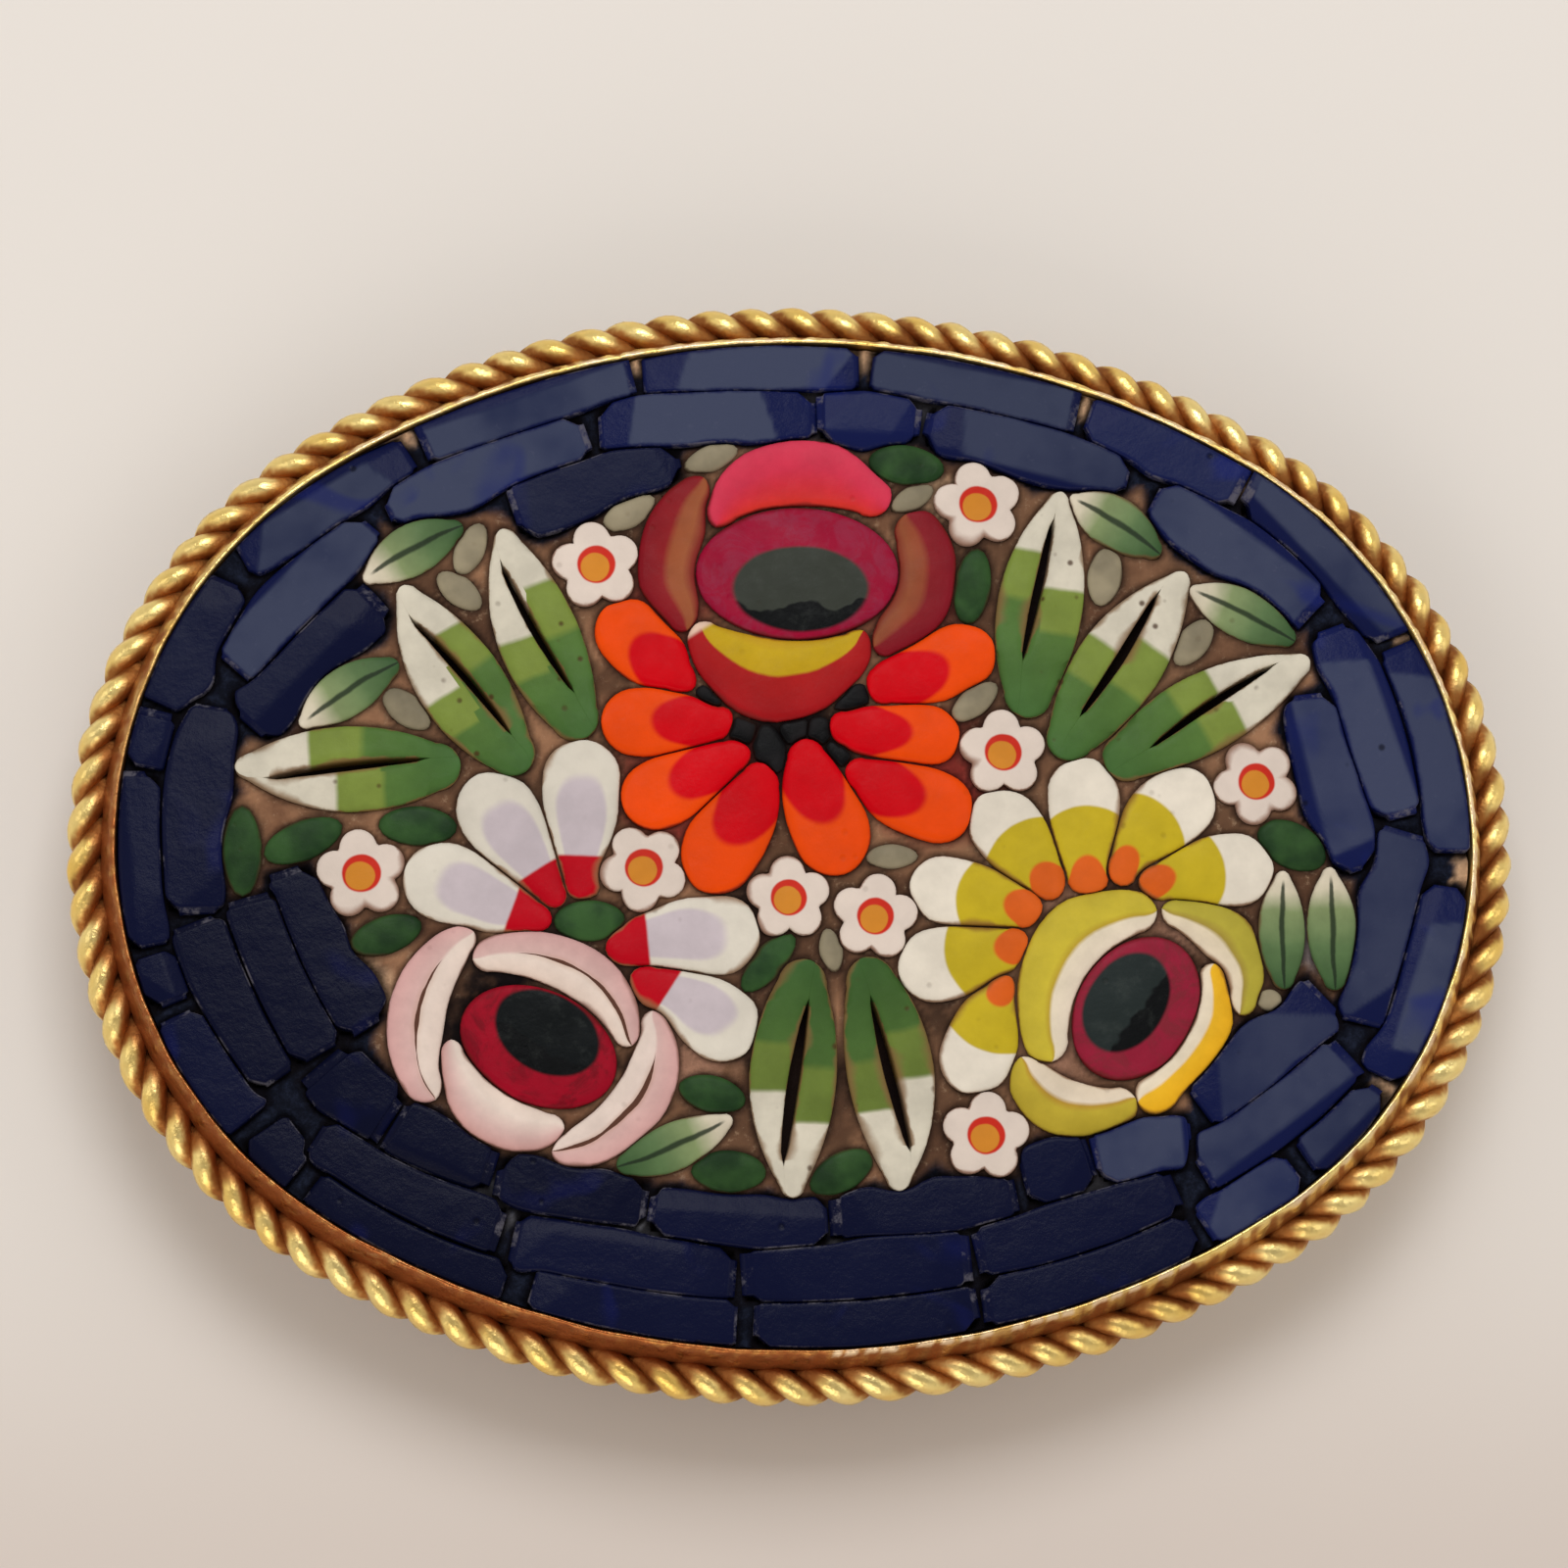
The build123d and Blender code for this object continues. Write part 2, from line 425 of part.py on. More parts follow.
for row in LEAVES:
    leaf = stone(band_face(*leaf_band(row), True), 0)
    save(leaf - stone(band_face(*slit_band(row), True), 0), row[0])

count = {"red": 0, "lilac": 0, "yellow": 0}
for row in PETALS:
    count[row[0]] += 1
    save(stone(band_face(*petal_band(row), True), 0), f"{row[0]}_petal_{count[row[0]]}")

for name, x1, y1, xm, ym, x2, y2, w1, wm, w2 in CRESCENTS:
    save(stone(band_face((x1, y1), (xm, ym), (x2, y2), w1, wm, w2, True), 0), name)

for row in HEARTS:
    face = Ellipse((row[3] - GAP / 2) * UNIT, (row[4] - GAP / 2) * UNIT)
    save(stone(Pos(row[1] * UNIT, row[2] * UNIT) * Rot(0, 0, row[5]) * face, EDGE), row[0])

save(Compound([stone(band_face(*small_leaf_band(r), True), 0).solids()[0] for r in SMALL_LEAVES]), "small_leaves")
save(Compound([stone(daisy_face(*r), 0).solids()[0] for r in DAISIES]), "daisies")
save(Compound([stone(band_face(*oval_band(*r[1:]), True), 0).solids()[0] for r in OVALS]), "leaf_drops")
save(Compound([stone(band_face(*oval_band(*r), True), 0).solids()[0] for r in CHIPS]), "black_chips")
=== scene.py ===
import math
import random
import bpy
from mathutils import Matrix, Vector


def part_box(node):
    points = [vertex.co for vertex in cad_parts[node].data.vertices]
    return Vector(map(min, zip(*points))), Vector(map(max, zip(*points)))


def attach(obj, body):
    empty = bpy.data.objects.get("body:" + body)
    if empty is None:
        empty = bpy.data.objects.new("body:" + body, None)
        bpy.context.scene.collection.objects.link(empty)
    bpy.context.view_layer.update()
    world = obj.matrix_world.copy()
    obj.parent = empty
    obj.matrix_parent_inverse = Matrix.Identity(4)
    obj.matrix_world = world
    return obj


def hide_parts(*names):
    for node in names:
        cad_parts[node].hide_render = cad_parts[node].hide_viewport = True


bl_info = {
    "name": "Mosaic Brooch",
    "version": (1, 0, 0),
    "blender": (4, 5, 0),
    "location": "View3D > Sidebar > Brooch",
    "description": "Builds an oval floral micromosaic brooch in a twisted wire setting",
    "category": "Add Mesh",
}

import bmesh
import bpy
import numpy as np
from bpy.props import FloatProperty, FloatVectorProperty, IntProperty, PointerProperty
from mathutils import Matrix, Vector, noise

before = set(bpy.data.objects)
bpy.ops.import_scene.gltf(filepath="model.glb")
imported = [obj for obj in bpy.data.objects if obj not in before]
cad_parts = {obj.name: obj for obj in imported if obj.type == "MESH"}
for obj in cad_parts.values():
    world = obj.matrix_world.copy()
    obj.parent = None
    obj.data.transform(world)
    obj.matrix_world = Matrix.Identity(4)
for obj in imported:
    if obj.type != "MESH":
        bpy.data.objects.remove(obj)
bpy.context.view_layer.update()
MM = 0.001
TRAY_LOW, TRAY_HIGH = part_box("bezel_tray")
STONE_LOW, STONE_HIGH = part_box("red_rose_heart")

# Heights in millimetres, from the floor
PLATE_FOOT = TRAY_LOW[2] / MM
LIP = TRAY_HIGH[2] / MM
STONE_TOP = STONE_HIGH[2] / MM
STONE_FOOT = STONE_LOW[2] / MM

# Clearance charted round each stone, and the least that spreading leaves between two stones
GAP = 0.07
HAIRLINE = 0.05
# Points along each side of a long stone, and round a round one
STATIONS = 24
AROUND = 72
# Points of a mesh that are nearer than this, in metres, become one
WELD = 2e-6
# Height of the small lumps on a stone's face, and the least depth of the face under the lip
FACE_LUMPS = 0.012
BELOW_LIP = 0.02
# How far past a facet's border the dust and painted sheen have faded out
DUST_AND_SHEEN_FADE = 0.16
# What the outer tiles and the mastic keep clear of the wall
TILE_CLEAR = 0.03
MASTIC_CLEAR = 0.06
# Points round the cup, and squares of the mastic's grid along and across
CUP_POINTS = 960
MASTIC_GRID = (290, 218)

# Chart of the mosaic in millimetres from the middle of the opening: the ground tiles by row, outer row first
GROUND = {
    # shade, x1, y1, xm, ym, x2, y2, w1, wm, w2
    "outer": [
        ("navy", -20.0, 2.15, -20.0, -0.4, -19.6, -3.1, 0.95, 1.3, 1.05),
        ("navy", -19.55, -3.35, -19.35, -4.0, -19.05, -4.75, 1.0, 1.1, 0.9),
        ("navy", -18.75, -5.25, -17.85, -6.95, -16.75, -8.45, 1.1, 1.45, 1.3),
        ("ink", -16.4, -8.75, -15.9, -9.4, -15.25, -10.0, 1.3, 1.3, 1.1),
        ("ink", -14.75, -10.35, -12.1, -12.1, -9.1, -13.35, 1.0, 1.2, 1.1),
        ("navy", -8.4, -13.55, -5.4, -14.3, -2.3, -14.7, 1.2, 1.3, 1.2),
        ("navy", -1.7, -14.75, 1.6, -14.75, 4.85, -14.35, 1.1, 1.3, 1.0),
        ("navy", 5.2, -14.1, 8.5, -13.45, 11.45, -12.2, 1.2, 1.35, 1.1),
        ("blue", 11.95, -12.1, 13.3, -11.3, 14.65, -10.35, 0.9, 1.35, 1.2),
        ("blue", 15.05, -10.0, 16.2, -9.1, 17.15, -7.95, 1.2, 1.2, 0.9),
        ("blue", 17.55, -7.6, 19.0, -4.6, 19.75, -1.7, 1.0, 1.75, 1.3),
        ("blue", 19.9, -0.7, 19.75, 2.4, 18.75, 5.7, 1.2, 1.7, 1.3),
        ("blue", 18.45, 6.2, 16.9, 8.75, 14.35, 10.75, 1.5, 1.75, 1.3),
        ("cobalt", 13.85, 10.95, 11.6, 12.15, 9.25, 13.15, 1.5, 1.8, 1.2),
        ("slate", 8.85, 13.45, 5.8, 14.2, 2.6, 14.75, 1.5, 1.5, 1.1),
        ("slate", 2.2, 14.75, -1.1, 14.75, -4.45, 14.6, 1.1, 1.4, 1.0),
        ("slate", -4.95, 14.6, -8.0, 13.75, -11.15, 12.5, 1.2, 1.75, 1.2),
        ("slate", -11.7, 12.1, -14.15, 10.65, -16.75, 8.95, 1.05, 1.55, 0.9),
        ("navy", -17.3, 8.1, -18.2, 6.3, -19.15, 4.3, 1.0, 1.6, 1.3),
        ("navy", -19.5, 4.0, -19.7, 3.2, -19.85, 2.4, 1.1, 1.05, 0.9),
    ],
    "middle": [
        ("navy", -17.7, 4.25, -18.15, 1.0, -18.25, -2.0, 1.1, 1.5, 1.3),
        ("ink", -18.15, -2.45, -17.05, -4.95, -15.75, -7.1, 1.2, 1.35, 1.2),
        ("ink", -14.65, -8.95, -12.1, -10.5, -9.3, -11.7, 1.0, 1.35, 1.25),
        ("navy", -8.8, -12.0, -5.6, -12.65, -2.35, -13.1, 1.25, 1.45, 1.35),
        ("navy", -1.8, -13.25, 1.4, -13.1, 4.55, -12.85, 1.2, 1.6, 1.2),
        ("navy", 5.05, -12.65, 8.0, -11.88, 10.85, -10.9, 1.2, 1.4, 1.0),
        ("blue", 11.85, -10.2, 14.15, -8.75, 16.3, -7.05, 1.1, 1.45, 1.2),
        ("blue", 16.95, -5.85, 17.68, -3.1, 18.5, -0.15, 1.15, 1.5, 1.05),
        ("blue", 18.4, 0.6, 17.7, 3.4, 16.7, 6.3, 1.0, 1.75, 0.9),
        ("slate", 15.9, 6.95, 13.85, 8.8, 11.25, 10.5, 1.2, 1.5, 1.2),
        ("slate", 10.45, 11.2, 7.5, 12.05, 4.35, 12.9, 0.9, 1.4, 1.1),
        ("cobalt", 3.95, 12.95, 2.5, 13.1, 1.05, 13.15, 1.0, 1.3, 1.2),
        ("slate", 0.75, 13.2, -2.5, 13.1, -5.8, 12.95, 1.2, 1.45, 1.1),
        ("slate", -6.3, 12.55, -9.35, 11.5, -12.3, 10.3, 1.2, 1.35, 0.9),
        ("slate", -12.95, 9.8, -14.85, 7.8, -17.0, 5.45, 0.85, 1.3, 1.15),
    ],
    "inner": [
        ("navy", -12.85, 7.45, -14.75, 5.65, -16.5, 3.75, 1.2, 1.3, 1.15),
        ("navy", -8.4, 10.3, -6.0, 11.0, -3.4, 11.65, 1.2, 1.45, 0.8),
        ("ink", -16.5, -1.75, -15.7, -4.1, -14.6, -6.4, 1.1, 1.4, 1.4),
        ("ink", -15.3, -0.9, -14.4, -3.2, -13.15, -5.5, 1.0, 1.3, 1.2),
        ("ink", -14.2, -6.85, -13.5, -7.6, -12.6, -8.3, 1.3, 1.4, 1.3),
        ("ink", -12.3, -8.65, -11.0, -9.35, -9.6, -9.9, 1.3, 1.3, 1.0),
        ("ink", -9.2, -10.2, -7.2, -10.6, -5.0, -10.95, 0.9, 1.2, 0.9),
        ("navy", -4.7, -11.3, -2.1, -11.68, 0.5, -11.75, 0.9, 1.15, 1.1),
        ("navy", 0.9, -11.5, 3.5, -11.3, 6.1, -10.95, 0.8, 1.15, 0.9),
        ("navy", 6.45, -10.5, 7.4, -10.25, 8.4, -9.95, 1.1, 1.3, 1.3),
        ("blue", 8.65, -9.85, 10.2, -9.55, 11.4, -9.35, 1.2, 1.3, 0.6),
        ("blue", 11.85, -8.3, 13.9, -6.75, 15.7, -5.2, 1.2, 1.5, 1.2),
        ("blue", 15.85, 4.2, 16.25, 1.5, 16.95, -1.2, 1.1, 1.35, 1.0),
    ],
}

LEAVES = [
    # name, root x, y, tip x, y, belly, bow, slit tip x, y, middle x, y, root x, y
    ("leaf_west", -10.2, 2.35, -16.95, 2.4, 2.6, 0.1, -16.05, 2.0, -13.6, 2.35, -11.2, 2.55),
    ("leaf_north_west", -8.2, 2.15, -11.85, 7.9, 2.6, 0.2, -11.65, 6.9, -10.3, 5.45, -8.65, 3.25),
    ("leaf_north_north_west", -6.4, 3.15, -8.8, 9.65, 2.5, 0.2, -8.88, 8.6, -7.85, 6.45, -6.7, 4.5),
    ("leaf_north_east", 7.0, 3.65, 8.35, 10.7, 2.6, 0.1, 8.1, 9.9, 7.55, 7.75, 6.95, 5.4),
    ("leaf_east_north_east", 7.95, 2.4, 12.1, 8.1, 2.6, 0.1, 11.2, 7.5, 9.95, 5.45, 8.6, 3.6),
    ("leaf_east", 9.4, 2.0, 15.8, 5.35, 2.4, 0.1, 14.7, 5.2, 12.9, 4.15, 10.8, 2.65),
    ("leaf_south_west", 0.1, -3.75, -0.5, -10.9, 2.6, -0.22, -0.78, -9.9, -0.4, -7.5, 0.1, -5.1),
    ("leaf_south_east", 1.8, -3.7, 2.65, -10.75, 2.6, 0.3, 3.05, -9.6, 2.55, -7.4, 2.0, -4.95),
]

PETALS = [
    # family, root x, y, tip x, y, belly, bow
    ("red", -3.3, 4.75, -5.7, 7.1, 2.0, 0.0),
    ("red", -2.0, 3.55, -5.85, 3.65, 1.95, 0.0),
    ("red", -1.65, 2.7, -5.2, 0.9, 2.0, 0.0),
    ("red", -1.0, 2.15, -3.05, -1.5, 2.2, 0.0),
    ("red", 0.2, 2.95, 1.28, -1.05, 2.2, 0.0),
    ("red", 1.5, 2.05, 5.15, 0.48, 2.05, 0.0),
    ("red", 1.1, 3.35, 4.92, 3.05, 1.7, 0.0),
    ("red", 2.35, 4.45, 6.0, 5.95, 1.95, 0.0),
    ("lilac", -6.7, -1.7, -6.5, 3.0, 2.25, 0.0),
    ("lilac", -7.3, -1.9, -9.75, 1.9, 2.3, 0.0),
    ("lilac", -7.65, -2.45, -11.8, -0.75, 2.3, 0.0),
    ("lilac", -5.8, -3.15, -1.3, -2.85, 2.35, 0.0),
    ("lilac", -4.95, -4.2, -1.85, -6.48, 2.22, 0.3),
    ("yellow", 7.0, -2.3, 3.38, -1.42, 1.9, 0.0),
    ("yellow", 6.7, -3.35, 2.95, -4.2, 2.1, 0.0),
    ("yellow", 6.15, -4.45, 4.7, -7.75, 2.05, 0.0),
    ("yellow", 7.6, -1.6, 5.62, 1.22, 2.05, 0.0),
    ("yellow", 8.8, -1.65, 8.65, 2.33, 2.05, 0.0),
    ("yellow", 9.5, -1.25, 12.4, 1.65, 2.2, 0.1),
    ("yellow", 10.4, -1.4, 14.32, -1.05, 2.1, 0.0),
]

CRESCENTS = [
    # name, x1, y1, xm, ym, x2, y2, w1, wm, w2
    ("red_rose_top", -2.2, 9.85, 0.35, 11.45, 2.75, 10.35, 0.75, 1.7, 0.75),
    ("red_rose_west", -2.8, 11.05, -3.85, 8.75, -3.35, 6.55, 0.8, 1.6, 0.65),
    ("red_rose_east", 3.65, 9.85, 4.15, 8.0, 2.6, 5.95, 0.9, 1.6, 0.55),
    ("red_rose_south", -2.95, 6.45, -0.4, 4.75, 2.0, 6.2, 0.6, 2.3, 0.6),
    ("pink_rose_west", -9.95, -2.8, -11.55, -4.95, -11.15, -7.65, 0.7, 1.4, 1.0),
    ("pink_rose_north", -9.8, -3.55, -7.15, -3.72, -5.25, -6.15, 0.7, 1.35, 0.6),
    ("pink_rose_east", -4.55, -5.3, -4.8, -7.6, -7.55, -9.4, 0.75, 1.35, 0.8),
    ("pink_rose_south", -10.6, -6.15, -9.5, -8.2, -7.4, -8.75, 0.6, 1.35, 0.7),
    ("yellow_rose_north", 10.5, -2.35, 7.72, -3.65, 7.3, -6.7, 0.8, 1.75, 0.9),
    ("yellow_rose_east", 11.2, -2.35, 12.95, -3.3, 13.25, -5.35, 0.5, 1.2, 0.75),
    ("yellow_rose_south_east", 12.5, -4.15, 12.05, -6.35, 10.15, -8.15, 0.5, 0.95, 0.6),
    ("yellow_rose_south", 6.5, -6.95, 7.6, -8.3, 9.7, -8.2, 0.6, 1.2, 0.7),
]

HEARTS = [
    # name, ring x, y, half length, half width, turn, core x, y, half length, half width, turn
    ("red_rose_heart", 0.15, 8.2, 3.05, 2.0, 0, 0.2, 7.7, 2.12, 1.35, 0),
    ("pink_rose_heart", -8.0, -6.25, 2.4, 1.65, -26, -7.75, -5.85, 1.7, 1.2, -30),
    ("yellow_rose_heart", 10.02, -5.35, 2.3, 1.7, 55, 9.7, -5.2, 1.7, 1.2, 55),
]

SMALL_LEAVES = [
    # root x, y, tip x, y, belly, bow
    (-10.05, 9.75, -13.0, 8.1, 1.5, -0.12),
    (-12.05, 5.5, -14.95, 3.6, 1.45, -0.12),
    (11.3, 8.7, 8.6, 10.5, 1.6, -0.12),
    (15.35, 5.95, 12.2, 7.6, 1.5, -0.08),
    (14.55, -4.8, 14.68, -1.25, 1.35, 0.05),
    (16.12, -4.85, 16.12, -1.15, 1.45, 0.0),
    (-5.7, -9.9, -2.3, -8.5, 1.35, -0.1),
]

DAISIES = [
    # x, y, across, turn
    (-5.98, 8.5, 2.75, 99), (5.76, 10.3, 2.75, 99), (6.25, 2.55, 2.7, 91),
    (13.98, 1.55, 2.65, 46), (-13.2, -0.95, 2.75, 97), (-4.75, -0.88, 2.7, 46),
    (-0.4, -1.85, 2.6, 91), (2.2, -2.45, 2.65, 9), (5.33, -9.15, 2.7, 84),
]

OVALS = [
    # colour, x, y, length, width, turn
    ("green", -16.75, -0.2, 2.65, 1.05, 90), ("green", -14.95, 0.1, 2.4, 1.05, 22),
    ("green", -11.5, 0.5, 2.2, 1.05, -3), ("green", -12.5, -2.8, 2.1, 1.0, 18),
    ("green", -6.4, -2.45, 2.0, 1.1, 0), ("green", -1.05, -3.78, 2.2, 0.85, 48),
    ("green", -2.85, -7.75, 1.9, 0.95, -15), ("green", -2.4, -10.08, 2.1, 1.1, -3),
    ("green", 0.98, -10.15, 2.0, 1.0, 28), ("green", 3.6, 11.6, 2.2, 1.1, -8),
    ("green", 5.5, 7.75, 2.3, 1.0, 80), ("green", 15.0, -0.4, 2.1, 1.25, -28),
    ("grey", -2.4, 11.85, 1.6, 0.65, 20), ("grey", -4.95, 10.15, 1.7, 0.75, 30),
    ("grey", -9.8, 9.05, 1.6, 0.75, 65), ("grey", -10.15, 7.75, 1.5, 0.75, -40),
    ("grey", -11.8, 4.1, 1.6, 0.8, -40), ("grey", 3.75, 10.55, 1.3, 0.6, 28),
    ("grey", 5.45, 4.15, 1.6, 0.7, 38), ("grey", 9.6, 8.05, 1.75, 0.9, 78),
    ("grey", 12.25, 5.95, 1.6, 0.8, 50), ("grey", 2.75, -0.6, 1.5, 0.6, 0),
    ("grey", 0.85, -3.45, 1.2, 0.55, 100), ("grey", 14.1, -5.15, 0.6, 0.5, 0),
]

CHIPS = [
    # x, y, length, width, turn
    (-2.6, 4.35, 0.55, 0.3, -25), (-1.7, 3.35, 0.55, 0.45, 0), (-0.85, 2.75, 1.2, 0.5, -75),
    (-0.05, 3.35, 0.5, 0.45, 70), (0.7, 3.25, 0.45, 0.45, 90), (1.2, 2.6, 0.65, 0.3, -62),
    (1.7, 4.3, 0.85, 0.4, 20),
]

# Where lime turns to white and green to lime, as shares from root to tip, on the left and right half
LEAF_BORDERS = {
    # name: (left green, left lime, right green, right lime)
    "leaf_west": (0.34, 0.55, 0.43, 0.67),
    "leaf_north_west": (0.3, 0.48, 0.51, 0.72),
    "leaf_north_north_west": (0.33, 0.51, 0.47, 0.72),
    "leaf_north_east": (0.5, 0.72, 0.38, 0.57),
    "leaf_east_north_east": (0.34, 0.53, 0.4, 0.64),
    "leaf_east": (0.4, 0.58, 0.44, 0.61),
    "leaf_south_west": (0.45, 0.68, 0.36, 0.56),
    "leaf_south_east": (0.33, 0.53, 0.44, 0.65),
}

# Width of a petal at its middle, as a share of its belly
PETAL_MIDDLE = {"red": 0.93, "lilac": 0.84, "yellow": 0.88}


def clamp(value, low=0.0, high=1.0):
    return min(max(value, low), high)


def unit(start, end):
    """Direction from one point to another."""
    length = math.dist(start, end)
    return (end[0] - start[0]) / length, (end[1] - start[1]) / length


def moved(point, way, far):
    """The point, moved some way along a direction."""
    return point[0] + way[0] * far, point[1] + way[1] * far


def middle_of(p, q):
    return (p[0] + q[0]) / 2, (p[1] + q[1]) / 2


def arc_points(p, q, r, n):
    """Evenly spaced points on the arc from p through q to r."""
    (x1, y1), (x2, y2), (x3, y3) = p, q, r
    d = 2 * (x1 * (y2 - y3) + x2 * (y3 - y1) + x3 * (y1 - y2))
    if abs(d) < 1e-6:
        return [(x1 + (x3 - x1) * i / n, y1 + (y3 - y1) * i / n) for i in range(n + 1)]
    a, b, c = x1 * x1 + y1 * y1, x2 * x2 + y2 * y2, x3 * x3 + y3 * y3
    cx = (a * (y2 - y3) + b * (y3 - y1) + c * (y1 - y2)) / d
    cy = (a * (x3 - x2) + b * (x1 - x3) + c * (x2 - x1)) / d
    radius = math.hypot(x1 - cx, y1 - cy)
    t1, t2, t3 = (math.atan2(y - cy, x - cx) for x, y in (p, q, r))
    turn = (t3 - t1) % (2 * math.pi)
    if (t2 - t1) % (2 * math.pi) > turn:
        turn -= 2 * math.pi
    angles = [t1 + turn * i / n for i in range(n + 1)]
    return [(cx + radius * math.cos(t), cy + radius * math.sin(t)) for t in angles]


def bowed(x1, y1, x2, y2, bow, share):
    """Point at a share of the way between two places, bowed out to the left."""
    dx, dy = x2 - x1, y2 - y1
    length = math.hypot(dx, dy)
    return x1 + dx * share - dy / length * bow, y1 + dy * share + dx / length * bow


def band_key(a, m, b, w1, wm, w2, round_ends):
    """Side points of a stone along a three-point centre line: left three, right three and the end caps."""
    line = arc_points(a, m, b, 20)
    first, whole, last = unit(line[0], line[1]), unit(a, b), unit(line[-2], line[-1])
    inset = (w1 / 2, w2 / 2) if round_ends else (GAP / 2, GAP / 2)
    a, b = moved(a, first, inset[0]), moved(b, last, -inset[1])
    w1, wm, w2 = w1 - GAP, wm - GAP, w2 - GAP
    spots = ((a, first, w1), (m, whole, wm), (b, last, w2))
    left, right = ([moved(p, (-way[1], way[0]), width / 2 * side) for p, way, width in spots]
                   for side in (1, -1))
    caps = (moved(a, first, -w1 / 2), moved(b, last, w2 / 2)) if round_ends else (None, None)
    return left, right, *caps


def grown(x1, y1, x2, y2, bow, widths, belly_at=0.5):
    """Centre line and widths of a stone that grows from a root to a tip."""
    return (x1, y1), bowed(x1, y1, x2, y2, bow, belly_at), (x2, y2), *widths


def petal_band(row):
    """Centre line and widths of a petal."""
    family, *ends, belly, bow = row
    return grown(*ends, bow, (0.85, belly * PETAL_MIDDLE[family], belly * 0.95))


def leaf_band(row):
    """Centre line and widths of a large leaf."""
    *ends, belly, bow = row[1:7]
    return grown(*ends, bow, (1.45, belly, 0.7), 0.45)


def slit_band(row):
    """Centre line and widths of a large leaf's slit."""
    return (row[7], row[8]), (row[9], row[10]), (row[11], row[12]), 0.18 + GAP, 0.4 + GAP, 0.12 + GAP


def small_leaf_band(row):
    """Centre line and widths of a small leaf."""
    *ends, belly, bow = row
    return grown(*ends, bow, (0.6, belly, 0.4))


def oval_arcs(offset):
    """Centres, radii and angles of the four arcs of the opening's oval, moved outward by offset."""
    size = bpy.context.scene.brooch_setting
    a, b = size.opening_length / MM / 2, size.opening_width / MM / 2
    r1 = size.end_radius / MM
    r2 = (a * a + b * b - 2 * a * r1) / (2 * (b - r1))
    cx, cy = a - r1, r2 - b
    t = math.atan2(cy, cx)
    e, f = r1 + offset, r2 + offset
    return [(cx, 0, e, -t, t), (0, -cy, f, t, math.pi - t), (-cx, 0, e, math.pi - t, math.pi + t),
            (0, cy, f, math.pi + t, 2 * math.pi - t)]


def oval_length(offset):
    return sum(r * (q2 - q1) for _, _, r, q1, q2 in oval_arcs(offset))


def oval_station(share, offset):
    """Point and heading of the oval at a share of its length."""
    s = (share % 1.0) * oval_length(offset)
    for x, y, r, q1, q2 in oval_arcs(offset):
        if s <= r * (q2 - q1):
            break
        s -= r * (q2 - q1)
    q = q1 + s / r
    return x + r * math.cos(q), y + r * math.sin(q), q + math.pi / 2


def facing_arc(x, y):
    """Centre and radius of the opening's arc that faces a place, whose x and y are above zero."""
    (cx, _, r1, _, t), (_, cy, r2, _, _) = oval_arcs(0)[:2]
    return (cx, 0.0, r1) if math.atan2(y, x - cx) < t else (0.0, cy, r2)


def oval_reach(x, y):
    """How far a place is inside the opening's oval, below zero outside it."""
    x, y = abs(x), abs(y)
    cx, cy, r = facing_arc(x, y)
    return r - math.hypot(x - cx, y - cy)


def keep_inside(x, y, clearance):
    """The place, pulled in to the oval where it is nearer the wall than the clearance."""
    for _ in range(4):
        miss = clearance - oval_reach(x, y)
        if miss <= 1e-4:
            break
        cx, cy, _ = facing_arc(abs(x), abs(y))
        dx, dy = unit((cx, cy), (abs(x), abs(y)))
        x -= math.copysign(miss * dx, x)
        y -= math.copysign(miss * dy, y)
    return x, y


def along(points, share):
    """Point on an evenly divided line at a share of its run."""
    k = clamp(share) * (len(points) - 1)
    i = min(int(k), len(points) - 2)
    f = k - i
    return tuple(p * (1 - f) + q * f for p, q in zip(points[i], points[i + 1]))


